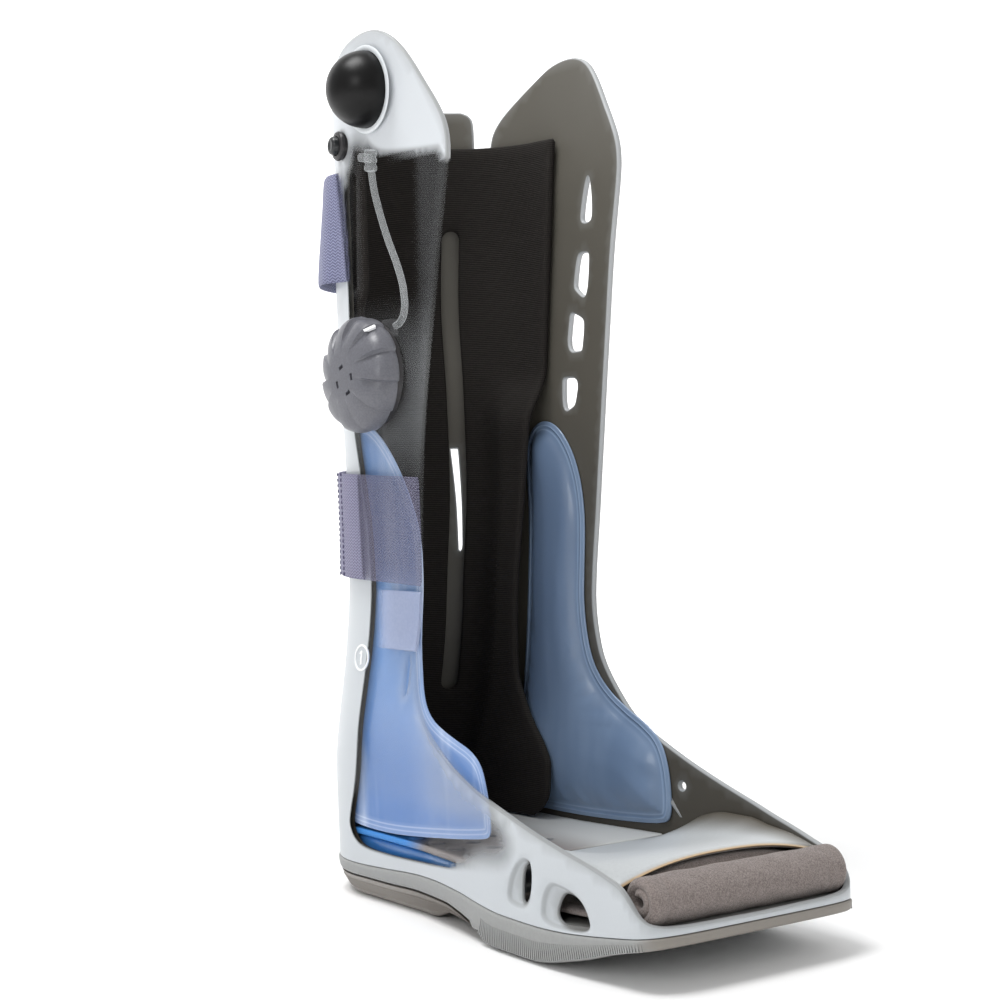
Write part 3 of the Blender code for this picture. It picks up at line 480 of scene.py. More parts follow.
# %% Finishes
class Signal:
    """One value in a material, which can be used in sums."""

    def __init__(self, finish, socket):
        self.finish, self.socket = finish, socket

    def maths(self, operation, first, second=None, third=None):
        sockets = {k: v for k, v in enumerate((first, second, third)) if v is not None}
        return self.finish.node("ShaderNodeMath", {"operation": operation}, sockets)

    def __add__(self, other):
        return self.maths("ADD", self, other)

    def __radd__(self, other):
        return self.maths("ADD", other, self)

    def __sub__(self, other):
        return self.maths("SUBTRACT", self, other)

    def __rsub__(self, other):
        return self.maths("SUBTRACT", other, self)

    def __mul__(self, other):
        return self.maths("MULTIPLY", self, other)

    def __rmul__(self, other):
        return self.maths("MULTIPLY", other, self)

    def __pow__(self, other):
        return self.maths("POWER", self, other)

    def step(self, low, high):
        """A smooth step from 0 at low to 1 at high."""
        return self.finish.node("ShaderNodeMapRange", {"interpolation_type": "SMOOTHSTEP"},
                                {"Value": self, "From Min": low, "From Max": high})

    def wave(self, period):
        """A sine wave from -1 to 1 with that period."""
        return self.maths("SINE", self * (2 * math.pi / period))


class Finish:
    """A material on one Principled shader."""

    def __init__(self, name, colour, roughness, **plain):
        self.material = bpy.data.materials.new(name)
        self.material.use_nodes = True
        self.tree = self.material.node_tree
        self.shader = self.tree.nodes["Principled BSDF"]
        self.feed("Base Color", (*colour, 1.0))
        self.feed("Roughness", roughness)
        for key, value in plain.items():
            self.feed(key.replace("_", " "), value)
        self.material.diffuse_color = (*colour, 1.0)

    def feed(self, name, value):
        socket = self.shader.inputs[name]
        if isinstance(value, Signal):
            self.tree.links.new(value.socket, socket)
        else:
            socket.default_value = value

    def node(self, kind, settings=None, sockets=None, out=0):
        made = self.tree.nodes.new(kind)
        for key, value in (settings or {}).items():
            setattr(made, key, value)
        for key, value in (sockets or {}).items():
            if isinstance(value, Signal):
                self.tree.links.new(value.socket, made.inputs[key])
            else:
                made.inputs[key].default_value = value
        return Signal(self, made.outputs[out])

    def place(self):
        """The point in object coordinates."""
        return self.node("ShaderNodeTexCoord", out="Object")

    def axes(self):
        """The object coordinates' x, y and z in millimetres."""
        point = self.place()
        return [self.node("ShaderNodeSeparateXYZ", {}, {0: point}, out=k) * 1000.0 for k in range(3)]

    def field(self, name):
        """A number that the mesh carries at its points."""
        return self.node("ShaderNodeAttribute", {"attribute_name": name}, out="Fac")

    def noise(self, scale, detail=3.0, stretch=(1.0, 1.0, 1.0), rough=0.55):
        """Noise from 0 to 1 with about scale lumps to the millimetre."""
        point = self.node("ShaderNodeMapping", {}, {"Vector": self.place(), "Scale": stretch})
        return self.node("ShaderNodeTexNoise", {}, {"Vector": point, "Scale": scale * 1000.0, "Detail": detail,
                                                    "Roughness": rough})

    def blend(self, share, first, second):
        """A colour between two colours."""
        pair = [c if isinstance(c, Signal) else (*c, 1.0) for c in (first, second)]
        return self.node("ShaderNodeMix", {"data_type": "RGBA"}, {0: share, 6: pair[0], 7: pair[1]}, out=2)

    def bump(self, height, depth, strength=1.0):
        """Feeds a height from 0 to 1, that deep in millimetres, to the shader's normal."""
        self.feed("Normal", self.node("ShaderNodeBump", {}, {"Height": height, "Distance": depth * MM,
                                                            "Strength": strength}))


def rgb(r, g, b):
    """A colour as seen on a screen, from 0 to 255, as the shader's linear colour."""
    return tuple((c / 255 / 12.92) if c <= 10 else ((c / 255 + 0.055) / 1.055) ** 2.4 for c in (r, g, b))


def speckled(name, colour, roughness, scale, detail, dark, light, relief=0.0):
    """A finish that wanders between two shades, with its relief in mm, and the noise behind it."""
    made = Finish(name, colour, roughness)
    speck = made.noise(scale, detail)
    made.feed("Base Color", made.blend(speck, dark, light))
    if relief:
        made.bump(speck, relief, 0.5)
    return made, speck


def place(obj, body, slot, *nodes):
    """Rides the piece on its body and hides the CAD nodes that it stands for. Its slot is not used."""
    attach(obj, body)
    if nodes:
        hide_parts(*nodes)
    return obj


# %% [markdown]
# ## The air tube
# A clear soft tube brings air from the pump's fitting down to the selector. It hangs in a shallow curve and
# ends in the selector's port, so both ends are held. A curve with a round bevel is the plainest true tube: its
# own line is the tube's centreline, which is what is measured. Its points repeat the CAD model's.

# %% Tube
TUBE_R = 1.7
TUBE_YZ = np.array([(-3.0, 355.9), (-4.4, 348.0), (-8.6, 336.0), (-15.0, 322.0), (-22.4, 308.4), (-26.6, 298.0),
                    (-27.8, 290.0), (-26.6, 284.6), (-23.4, 281.2), (-20.2, 280.0)])
steps = np.arange(0, len(TUBE_YZ) - 1 + 1e-9, 0.25)
knots = np.arange(len(TUBE_YZ))
tube_y, tube_z = smooth(knots, TUBE_YZ[:, 0], steps), smooth(knots, TUBE_YZ[:, 1], steps)
tube_x = -(half_width(tube_y, tube_z) - WALL - 3.6 + steps / (len(TUBE_YZ) - 1))
tube_points = np.stack([tube_x, tube_y, tube_z], axis=1)
clear_pvc = Finish("clear_pvc", rgb(226, 230, 232), 0.12, IOR=1.45)
edge = clear_pvc.node("ShaderNodeLayerWeight", {}, {"Blend": 0.35}, out="Facing")
clear_pvc.feed("Alpha", edge.step(0.35, 0.8) * 0.75 + 0.2)
tube_curve = bpy.data.curves.new("air_tube", "CURVE")
tube_curve.dimensions = "3D"
tube_curve.bevel_depth = TUBE_R * MM
tube_curve.bevel_resolution = 5
tube_curve.use_fill_caps = True
spline = tube_curve.splines.new("POLY")
spline.points.add(len(tube_points) - 1)
for point, co in zip(spline.points, tube_points):
    point.co = (*(co * MM), 1.0)
spline.use_smooth = True
tube_curve.materials.append(clear_pvc.material)
air_tube = bpy.data.objects.new("air_tube", tube_curve)
collection.objects.link(air_tube)
place(air_tube, "boot", "clear_tube", "tube")

# %% [markdown]
# ## The shell
# One moulding runs from the toe's lip round the heel and up both sides of the calf. It is open in front. The
# outline below is its free edge in side view. It is unrolled on to the wall, filled with a net, and given
# two skins 3 mm apart with a rounded rim. The near wall is drawn faded, as the picture of this boot has it,
# so the net carries a number for how solid the wall looks at each point.

# %% Shell outlines
LIP_Z, PANEL_TOP = 26.0, 400.0
SOLE_LINE = (
    # y, z
    (77.0, 18.0), (52.0, 17.5), (26.0, 17.5), (0.0, 18.5), (-23.0, 20.0), (-47.0, 20.8), (-70.0, 20.0),
    (-92.0, 18.0), (-114.0, 16.6), (-137.0, 16.4), (-155.0, 17.0), (-170.0, 18.2), (-186.0, 20.0),
    (-200.0, 21.8), (-212.0, 23.2),
)
RIM = (
    # y, z from the toe's lip up the front edge, over the tip and down to the notch and the rear panel
    (-213.0, LIP_Z), (-209.0, 27.4), (-204.5, 31.6), (-199.0, 37.0), (-192.0, 41.2),
    (-182.0, 44.2), (-170.0, 48.0), (-157.0, 51.6), (-145.0, 55.6), (-132.0, 59.6), (-118.0, 64.2),
    (-104.0, 69.2), (-92.0, 74.2), (-82.0, 78.8), (-72.0, 83.4), (-63.0, 89.0), (-56.0, 95.6),
    (-50.0, 103.6), (-45.5, 113.0), (-42.8, 124.0), (-42.0, 140.0), (-43.2, 160.0), (-45.4, 185.0),
    (-47.6, 212.0), (-50.4, 244.0), (-53.6, 268.0), (-57.0, 290.0), (-60.6, 315.0), (-64.4, 334.0),
    (-67.6, 350.0), (-68.6, 360.0), (-67.0, 370.0), (-61.6, 380.0), (-54.6, 390.0), (-48.6, 399.0),
    (-42.6, 407.0), (-36.0, 413.4), (-28.0, 417.8), (-19.0, 419.6), (-8.0, 419.0), (2.0, 416.4),
    (12.0, 411.0), (21.0, 404.6), (28.6, 397.4), (33.2, 390.6), (35.3, 383.6), (35.8, 370.0),
    (37.2, 367.0), (40.8, 367.0), (42.2, 370.0), (42.6, 393.0), (44.0, 398.0), (47.4, PANEL_TOP),
)
NEAR_RIM = (
    # the near side's front edge lies lower over the instep
    (-213.0, LIP_Z), (-209.5, 26.8), (-206.0, 28.4), (-202.0, 32.2), (-197.0, 38.0), (-191.8, 41.9), (-182.0, 44.8),
    (-175.0, 46.8), (-165.0, 49.0), (-155.0, 51.2), (-143.0, 54.0), (-130.7, 57.0), (-115.3, 61.4), (-99.0, 65.9),
    (-86.2, 70.4), (-77.0, 74.2), (-69.0, 78.2), (-63.0, 82.0), (-58.0, 85.6), (-53.0, 89.6), (-49.0, 93.8),
    (-43.4, 101.5), (-39.6, 109.0), (-37.2, 117.0), (-35.8, 126.0), (-37.0, 138.6), (-39.6, 155.0), (-41.6, 178.6),
    (-44.0, 208.5), (-48.0, 236.0), (-53.0, 266.0), (-57.0, 290.0), *RIM[26:],
)
FAR_WINDOWS = (
    ((-41.8, 358.0), (-44.4, 349.0), (-44.6, 335.6), (-42.0, 333.4), (-36.4, 333.6), (-34.4, 335.8), (-38.0, 349.0)),
    ((-34.2, 318.6), (-40.0, 318.2), (-41.2, 316.6), (-39.4, 302.0), (-37.6, 297.6), (-35.4, 296.4), (-28.6, 301.0),
     (-27.8, 303.4), (-31.0, 317.2)),
    ((-24.8, 289.0), (-27.0, 288.8), (-33.4, 286.2), (-35.8, 283.8), (-33.4, 270.6), (-32.4, 269.8), (-20.8, 270.0),
     (-23.8, 287.6)),
    ((-17.8, 256.8), (-30.0, 256.2), (-27.0, 244.2), (-25.2, 242.2), (-17.0, 239.4), (-16.6, 255.6)),
    ((-20.6, 216.6), (-22.4, 210.0), (-20.2, 200.0), (-16.2, 189.4), (-12.2, 204.6), (-13.6, 214.8)),
)
TOE_FIELDS = (
    ((-115.4, 23.2), (-117.4, 33.0), (-123.0, 41.6), (-129.6, 45.2), (-135.6, 43.6), (-136.2, 33.2), (-133.2, 22.4),
     (-124.4, 21.4)),
    ((-141.2, 18.4), (-141.6, 28.4), (-145.6, 35.6), (-150.6, 37.8), (-165.4, 35.2), (-173.0, 29.4), (-176.6, 19.2),
     (-158.0, 17.0)),
)
TOE_HOLES = (
    ((-126.6, 30.6), (-127.4, 38.2), (-131.2, 42.8), (-134.4, 41.0), (-133.6, 33.0), (-130.6, 25.4), (-126.8, 24.0)),
    ((-151.2, 23.6), (-153.6, 29.6), (-157.2, 33.6), (-165.2, 32.6), (-171.0, 28.4), (-174.2, 21.2), (-165.0, 19.6),
     (-155.0, 20.0)),
)


def unrolled(outline, sign, times=2, step=1.0):
    """A closed side view outline carried to the unrolled wall on one side."""
    line = resample(corner_cut(outline, times), step, closed=True)
    return np.stack([run_of(line[:, 0], line[:, 1], sign), line[:, 1]], axis=1)


def disc(run, z, radius, step=1.2):
    """A round hole's outline on the unrolled wall."""
    turn = np.linspace(0, 2 * math.pi, max(10, int(2 * math.pi * radius / step)), endpoint=False)
    return np.stack([run + radius * np.cos(turn), z + radius * np.sin(turn)], axis=1)


def upright_slot(run, low, high, width, step=1.2):
    """A tall slot with rounded ends."""
    r = width / 2
    turn = np.linspace(0, math.pi, 9)
    top = np.stack([run + r * np.cos(turn), high - r + r * np.sin(turn)], axis=1)
    low_end = np.stack([run - r * np.cos(turn), low + r - r * np.sin(turn)], axis=1)
    return resample(np.vstack([top, low_end]), step, closed=True)


def sole_line(y):
    return table(SOLE_LINE, y)


DIAL_AT = np.array((-57.3, -12.0, 257.0))
VALVE_Y, VALVE_Z = 13.0, 369.6
VALVE_RUN = float(run_of(VALVE_Y, VALVE_Z, -1.0)[0])


def rim_half(rim, sign):
    """One side's free edge on the unrolled wall, from the toe's middle to the heel's middle."""
    line = corner_cut(rim, 2, closed=False)
    side = np.stack([run_of(np.maximum(line[:, 0], TOE_Y), line[:, 1]), line[:, 1]], axis=1)
    return resample(np.vstack([[(FULL_RUN, LIP_Z)], side[1:], [(0.0, PANEL_TOP)]]), 1.7) * (sign, 1.0)


bottom_run = np.linspace(-FULL_RUN, FULL_RUN, 283)
bottom = np.stack([bottom_run, sole_line(flat_point(bottom_run, np.full(283, 18.0))[1])], axis=1)
seam = np.linspace(bottom[0, 1], LIP_Z, 5)[1:-1]
shell_loop = np.vstack([rim_half(RIM, 1.0), rim_half(NEAR_RIM, -1.0)[::-1][1:],
                        np.stack([np.full(3, -FULL_RUN), seam[::-1]], axis=1), bottom,
                        np.stack([np.full(3, FULL_RUN), seam], axis=1)])
ANKLE_SLOT = ((-27.6, 105.0), (-31.2, 106.0), (-32.2, 124.0), (-28.6, 124.0))
DIAL_HOLE = [(DIAL_AT[1] + 20 * math.cos(t), DIAL_AT[2] + 20 * math.sin(t))
             for t in np.linspace(0, 2 * math.pi, 60, endpoint=False)]
BACK_SLIT = resample(np.array([(28.4, 222.5), (32.2, 222.5), (33.4, 200.0), (35.0, 171.0), (34.4, 168.5),
                               (33.2, 169.0), (31.0, 195.0)]), 1.2, closed=True)
NEAR_STRAP, FAR_STRAP = wall_run(-90.5), wall_run(88.0)
STRAP_SLOT = (299, 355, 4.2)
near_slots = [upright_slot(NEAR_STRAP, *STRAP_SLOT), unrolled(ANKLE_SLOT, -1.0, 1), disc(VALVE_RUN, VALVE_Z, 5.8),
              disc(run_of(-3.0, 362.0, -1.0)[0], 362.0, 2.3, 1.0), unrolled(DIAL_HOLE, -1.0, 0, 1.6)]
far_slots = [upright_slot(FAR_STRAP, *STRAP_SLOT), BACK_SLIT, disc(run_of(-97.0, 58.0)[0], 58.0, 2.0, 1.0)]
windows = [unrolled(w, 1.0) for w in FAR_WINDOWS]
toe_holes = [unrolled(h, s, 2, 0.8) for h in TOE_HOLES for s in (-1.0, 1.0)]
fields = [unrolled(f, s, 2, 1.2) for f in TOE_FIELDS for s in (-1.0, 1.0)]
holes = near_slots + far_slots + windows + toe_holes
print("shell edge points", len(shell_loop), "openings", len(holes))

# %% Shell net and skins
def soft_edge(p):
    """The sole line and the toe seam aren't free edges."""
    low = sole_line(flat_point(p[:, 0], np.full(len(p), 18.0))[1])
    return (p[:, 1] < low + 0.6) | (np.abs(p[:, 0]) > FULL_RUN - 0.01)


def inset(loop, depth):
    """A closed loop moved inwards by a depth, for lines that follow a sunk field's slope."""
    ahead = np.roll(loop, -1, axis=0) - np.roll(loop, 1, axis=0)
    normal = np.stack([-ahead[:, 1], ahead[:, 0]], axis=1) / np.linalg.norm(ahead, axis=1)[:, None]
    if not is_inside(loop[:1] + normal[:1] * 0.05, loop_segments(loop))[0]:
        normal = -normal
    return loop + normal * depth


def ease(value, low, high):
    """A smooth step from 0 at low to 1 at high."""
    t = np.clip((np.asarray(value, float) - low) / (high - low), 0, 1)
    return t * t * (3 - 2 * t)


CLEAR_EDGE = (
    # y, z of the part of the near wall that is drawn faded
    (15.0, 367.0), (8.0, 376.0), (-8.0, 377.0), (-16.0, 366.0), (-30.0, 363.0), (-84.0, 360.0), (-84.0, 130.0),
    (-60.0, 100.0), (-108.0, 78.0), (-122.0, 60.0), (-128.0, 47.0), (-120.0, 34.0), (-94.0, 30.6), (-71.0, 28.6),
    (-45.0, 26.4), (-21.0, 25.0), (8.0, 24.6), (22.0, 26.0), (28.0, 30.0), (31.6, 36.0), (30.0, 42.0), (25.0, 55.0),
    (18.0, 80.0), (12.0, 100.0), (5.0, 129.0), (2.0, 154.0), (2.0, 168.0), (2.6, 188.0), (6.0, 207.0),
    (10.0, 226.0), (12.6, 240.0), (12.0, 300.0),
)
clear_loop = unrolled(CLEAR_EDGE, -1.0, 2, 2.2)
CLEAR_SEGMENTS = loop_segments(clear_loop)
SINK_RUN, SINK = 2.4, 1.8
marks = [inset(f, d) for f in fields for d in (0.0, 0.8, 1.6, SINK_RUN)]
marks += [inset(clear_loop, d) for d in (0.0, 0.8, 1.6)]
flat, tris, edge_gap = net([shell_loop] + holes, 4.4, soft=soft_edge, marks=marks)
tris = weld_ends(flat, tris, FULL_RUN)
sunk = np.zeros(len(flat))
for f in fields:
    within = is_inside(flat, loop_segments(f))
    share = np.clip(distance_to(flat[within], loop_segments(f)) / SINK_RUN, 0, 1)
    sunk[within] = SINK * share * share * (3 - 2 * share)
drop = rounded(edge_gap, 1.0)
outer = on_wall(flat[:, 0], flat[:, 1], -drop - sunk)
inner = on_wall(flat[:, 0], flat[:, 1], -WALL + drop)
print("shell net", len(flat), "points", len(tris), "triangles")


# %% How solid the near wall looks
def veil(points):
    """How solid the near wall looks, from 0 to 1, at (run, z) points of the unrolled wall."""
    gap = distance_to(points, CLEAR_SEGMENTS) * np.where(is_inside(points, CLEAR_SEGMENTS), 1.0, -1.0)
    y, z = flat_point(points[:, 0], points[:, 1])[1], points[:, 1]
    feather = 1.6 + 15 * ease(-y, 62, 100) * ease(-z, -100, -70) + 3.0 * ease(z, 345, 356)
    feather = feather + 9.0 * ease(y, -14, -4) * ease(z, 352, 362)
    clear = ease(gap, 0.0, feather)
    base = 0.15 * ease(-z, -296, -256) * ease(z, 206, 236) + 0.06 * ease(-z, -236, -206) * ease(z, 48, 60)
    base = base + 0.24 * ease(-y, 26, 84) * ease(-z, -112, -74) * ease(z, 48, 62) + 0.05 * ease(-y, 44, 50)
    return 1 - clear * (1 - base)


near = flat[:, 0] < -10
rim_band = (0.04 + 0.20 * ease(-flat[:, 1], -140, -100)) * (1 - ease(edge_gap, 1.0, 7.0))
solid_look = np.ones(len(flat))
solid_look[near] = np.clip(veil(flat[near]) + rim_band[near], 0, 1)
shell_white = Finish("shell_white", rgb(222, 227, 230), 0.34)
x, y, z = shell_white.axes()
grain = shell_white.noise(0.9, 2.0)
inside = shell_white.field("inside")
# The outer face is darker low down.
high = z.step(120.0, 350.0)
pale = shell_white.blend(high * 0.85 + grain * 0.15, rgb(192, 197, 201), rgb(212, 216, 220))
# Painted shade: the inner face is painted a dark olive, darker low down, where the inside of the shell lies in
# shade. The field inside says how much of this painted shade a point takes.
inner_shade_olive = shell_white.blend((z * (1 / 420.0)), rgb(74, 70, 62), rgb(98, 95, 87))
shell_white.feed("Base Color", shell_white.blend(inside, pale, inner_shade_olive))
shell_white.feed("Roughness", 0.32 + inside * 0.2 + grain * 0.06)
shell_white.feed("Alpha", shell_white.field("solid_look"))
shell_white.bump(grain, 0.02, 0.5)
# Painted shade on the slopes of the sunk toe fields, and a painted mid tone on the rims between the pale outer face
# and the shaded inner face.
sunk_slope_shade = 0.34 * ease(sunk, 0.02, 0.7) * ease(-sunk, -SINK - 0.3, -SINK * 0.8)
inner_shade_share = 0.40 + 0.60 * ease(edge_gap, 0.3, 1.2)
shell_wall = shell_solid("shell_wall", tris, outer, inner, shell_white,
                         {"inside": (0.52 * (1 - ease(edge_gap, 0.3, 1.6)) + sunk_slope_shade, inner_shade_share),
                          "solid_look": (solid_look, ease(solid_look, 0.55, 1.0))})
place(shell_wall, "boot", "shell", "shell")
print("shell faces", len(shell_wall.data.polygons))

# %% Shell floor
FLOOR_IN = 2.0
floor_runs = np.linspace(-FULL_RUN, FULL_RUN, 241)[:-1]
floor_count = len(floor_runs)
floor_xy = on_wall(floor_runs, np.full(floor_count, 20.0), -FLOOR_IN)[:, :2]
floor_low = sole_line(floor_xy[:, 1])


def crossed(rows, count):
    """A closed skin through rows round the boot, with flat strips across its bottom and top."""
    verts = np.concatenate(rows)
    faces = []
    for r in range(len(rows) - 1):
        for c in range(count):
            d = (c + 1) % count
            faces.append((r * count + c, r * count + d, (r + 1) * count + d, (r + 1) * count + c))
    for start, flip in ((0, False), ((len(rows) - 1) * count, True)):
        for k in range(count // 2):
            quad = list(dict.fromkeys((start + k, start + k + 1, start + (count - k - 1) % count,
                                       start + (count - k) % count)))
            faces.append(tuple(quad[::-1]) if flip else tuple(quad))
    return verts, faces


floor_rows = [np.column_stack([floor_xy, floor_low + lift]) for lift in (0.0, WALL)]
verts, faces = crossed(floor_rows, floor_count)
# The shell's floor takes most of the painted inner shade.
floor_fields = {"inside": np.full(len(verts), 0.8), "solid_look": np.ones(len(verts))}
shell_floor = mesh_piece("shell_floor", verts, faces, shell_white, floor_fields)
place(shell_floor, "boot", "shell", "shell")
print("floor faces", len(shell_floor.data.polygons))

# %% Fold line inside the far wall
def ridge(name, path, sign, width, height, finish, fields):
    """A low ridge along a side view path on the wall's inner face."""
    line = resample(corner_cut(path, 2, closed=False), 2.0)
    run = run_of(line[:, 0], line[:, 1], sign)
    ends = np.minimum(np.arange(len(line)), np.arange(len(line))[::-1]) / 4.0
    rise = height * np.clip(ends, 0.1, 1.0)
    rows = [np.array([on_wall(r + side * width / 2, z, -WALL + low * 0.4 - (1 - low) * up)[0]
                      for side, low in ((-1, 1), (-0.45, 0), (0.45, 0), (1, 1))])
            for r, z, up in zip(run, line[:, 1], rise)]
    verts, faces = loft(rows)
    count = len(verts)
    return mesh_piece(name, verts, faces, finish, {k: np.full(count, v) for k, v in fields.items()}, 40)


FOLD_PATH = ((-69.0, 84.0), (-75.0, 75.0), (-83.0, 61.0), (-90.0, 50.0), (-96.0, 43.0))
# The fold ridge takes less of the painted inner shade than the inner face round it.
fold_line = ridge("fold_line", FOLD_PATH, 1.0, 2.2, 1.2, shell_white, {"inside": 0.45, "solid_look": 1.0})
place(fold_line, "boot", "shell")

# %% [markdown]
# ## The liner
# A black padded textile wraps the back of the leg. It is the same kind of net as the shell, 4 mm thick and
# fully rounded at its edges, and it stands clear of the wall low down, where the air cells lie behind it. Its
# fine horizontal ribs are knitted in, under a millimetre apart, so they belong to the finish. The long slot is cut.

# %% Liner
LINER_THICK = 4.0
LINER_FRONT = (
    # z, y of the far side's front edge
    (34.4, -7.0), (40.0, -15.0), (48.0, -19.6), (62.0, -19.4), (72.0, -14.0), (80.0, -7.0), (92.0, 1.0),
    (108.0, 6.6), (130.0, 6.0), (185.0, 1.0), (236.0, -4.0), (297.0, -9.0), (347.0, -13.0), (381.0, -14.0),
)
LINER_Z = (34.6, 380.0)


def liner_gap(run, z):
    """Clearance between the wall and the liner."""
    side = ease(np.abs(run) * 90 / HEEL_RUN, 48, 74)
    low = ease(-np.asarray(z, float), -262, -232)
    return 1.6 + 9.6 * side * low


def near_front(z):
    """The near side's front edge, set back where the selector's port comes through."""
    z = np.asarray(z, float)
    back_of_port = 4.0 + 5.4 * ease(z, 196, 206) * ease(-z, -300, -290)
    return np.where(z > 92, back_of_port, np.minimum(4.0, table(LINER_FRONT, z)))


heights = np.linspace(LINER_Z[0], LINER_Z[1], 200)
far_edge = np.stack([run_of(table(LINER_FRONT, heights), heights), heights], axis=1)
near_edge = np.stack([run_of(near_front(heights), heights, -1.0), heights], axis=1)
liner_edge = np.vstack([resample(far_edge, 3.0), resample(near_edge[::-1], 3.0)])
liner_loop = resample(corner_cut(liner_edge, 2), 2.0, True)
slot_loop = upright_slot(wall_run(34.5), 95, 337, 9.6)
flat, tris, edge_gap = net([liner_loop, slot_loop], 4.2, rows=(0.26, 0.9, 1.9))
gap = liner_gap(flat[:, 0], flat[:, 1])
drop = rounded(edge_gap, 1.9)
outer = on_wall(flat[:, 0], flat[:, 1], -WALL - gap - drop)
inner = on_wall(flat[:, 0], flat[:, 1], -WALL - gap - LINER_THICK + drop)
black_rib = Finish("black_rib", rgb(30, 28, 27), 0.86)
x, y, z = black_rib.axes()
around = black_rib.noise(0.05, 2.0)
rib = (z + around * 0.5).wave(0.98) * 0.5 + 0.5
thread = black_rib.noise(1.6, 2.0, (1.0, 1.0, 0.35))
band = black_rib.field("hem")
black_rib.feed("Base Color", black_rib.blend(rib * 0.6 + thread * 0.4, rgb(10, 9, 8), rgb(50, 46, 43)))
black_rib.feed("Roughness", 0.95 - rib * 0.14)
black_rib.shader.inputs["Specular IOR Level"].default_value = 0.25
black_rib.bump((rib * 0.7 + thread * 0.3) * (1 - band), 0.28, 0.8)
hem_mask = ease(-edge_gap, -3.4, -2.6)
liner_wall = shell_solid("liner_wall", tris, outer, inner, black_rib, {"hem": (hem_mask, hem_mask)}, 60)
place(liner_wall, "boot", "liner", "liner")
print("liner faces", len(liner_wall.data.polygons))

# %% [markdown]
# ## The air cells
# Two L-shaped pads of soft clear-blue film are welded flat round their edges and full of air within. The net's
# distance from the edge gives the whole form: a thin rim, a raised double weld line, then a swelling that
# levels off. The film puckers across the weld, so the swelling carries small folds at right angles to the edge.

# %% Air cells
CELL_EDGE = (
    (36.0, 38.0), (31.0, 50.0), (24.0, 68.0), (19.6, 88.0), (16.0, 108.0), (13.0, 128.0), (11.0, 148.0),
    (10.0, 168.0), (10.6, 190.0), (12.6, 212.0), (13.0, 224.0), (8.0, 233.0), (-2.0, 236.4), (-14.0, 232.0),
    (-24.0, 222.0), (-31.0, 210.0), (-35.4, 196.0), (-37.2, 180.0), (-36.8, 160.0), (-36.0, 142.0),
    (-36.8, 124.0), (-40.6, 110.0), (-48.0, 100.0), (-60.0, 92.6), (-74.0, 86.0), (-84.0, 79.0),
    (-89.0, 68.0), (-91.0, 54.0), (-91.0, 42.0), (-86.0, 38.6), (-60.0, 37.0), (-20.0, 36.6), (16.0, 37.0),
)
NEAR_CELL_EDGE = (
    # the near cell reaches further forward over the instep and further back
    (41.0, 37.0), (37.0, 52.0), (32.0, 78.0), (27.0, 98.0), (22.0, 128.0), (19.6, 153.0), (19.0, 170.0),
    (19.6, 188.0), (22.0, 207.0), (22.0, 224.0), (17.0, 234.0), (4.0, 235.0), (-9.0, 227.0), (-22.0, 212.0),
    (-31.0, 196.0),
    (-36.4, 181.0), (-36.6, 160.0), (-34.6, 138.0), (-36.6, 120.0), (-41.0, 106.0), (-49.0, 96.6), (-60.0, 91.6),
    (-72.0, 88.0), (-84.0, 84.6), (-92.0, 79.0), (-96.0, 69.0), (-98.6, 58.0), (-99.0, 48.0), (-92.0, 46.0),
    (-60.0, 41.4), (-20.0, 36.4), (12.0, 34.8),
)


def cell_net(outline):
    """The net of a cell, with close rows where its welds are."""
    loop = resample(corner_cut(outline, 2), 1.6, closed=True)
    return net([loop], 2.6, rows=(0.2, 0.5, 1.6, 2.1, 2.6, 3.6, 4.2, 4.8, 6.4, 9.0))


def cell_thickness(gap, points):
    """Thickness of a cell at a distance from its edge."""
    turn = np.arctan2(points[:, 1] - 84.0, points[:, 0] + 12.0)
    pucker = (np.sin(turn * 23) + 0.6 * np.sin(turn * 41 + 1.0)) * np.exp(-((gap - 9) / 6.0) ** 2)
    welds = 0.55 * np.exp(-((gap - 2.1) / 0.45) ** 2) + 0.5 * np.exp(-((gap - 4.2) / 0.45) ** 2)
    full = 8.4 * (1 - np.exp(-np.clip(gap - 4.6, 0, None) / 9.0)) ** 0.8
    return 0.7 * ease(gap, -0.3, 0.4) + 0.15 + welds * ease(gap, 0.6, 1.4) + full + 0.32 * pucker * ease(gap, 5, 8)


def film(name, deep, shade, light, solid, streak):
    """Soft clear-blue film, blended to the deep colour low down, with soft upright streaks and the weld lines
    painted light as highlights.
    """
    made = Finish(name, shade, 0.3, IOR=1.45)
    x, y, z = made.axes()
    cloud = made.noise(0.03, 3.0, (1.0, 1.0, 0.16))
    low = 1 - z.step(50.0, 130.0)
    edge = made.field("weld")
    body = made.blend(low * 0.85, shade, deep)
    # Painted highlights: soft upright streaks, and the weld lines painted light.
    shine = cloud.step(0.48, 0.74) * streak + edge * 0.55
    made.feed("Base Color", made.blend(shine, body, light))
    made.feed("Alpha", edge * (0.97 - solid) + solid)
    made.feed("Roughness", cloud * 0.12 + 0.27)
    made.shader.inputs["Coat Weight"].default_value = 0.4
    made.shader.inputs["Coat Roughness"].default_value = 0.15
    made.bump(made.noise(0.25, 3.0), 0.2, 0.3)
    return made


def air_cell(name, sign, node, outline, finish):
    points, triangles, gap = cell_net(outline)
    thick = cell_thickness(gap, points)
    x = half_width(points[:, 0], points[:, 1])
    wall_side = np.stack([sign * (x - WALL - 0.75), points[:, 0], points[:, 1]], axis=1)
    leg_side = np.stack([sign * (x - WALL - 0.8 - thick), points[:, 0], points[:, 1]], axis=1)
    # The weld lines' field, which the film paints light as highlights and makes more solid.
    line = np.exp(-((gap - 2.1) / 0.5) ** 2) + np.exp(-((gap - 4.2) / 0.5) ** 2)
    line = line + 0.55 * ease(-gap, -0.9, -0.2)
    made = shell_solid(name, triangles, wall_side, leg_side, finish, {"weld": (line, line)}, 70)
    place(made, "boot", "cell", node)
    return made


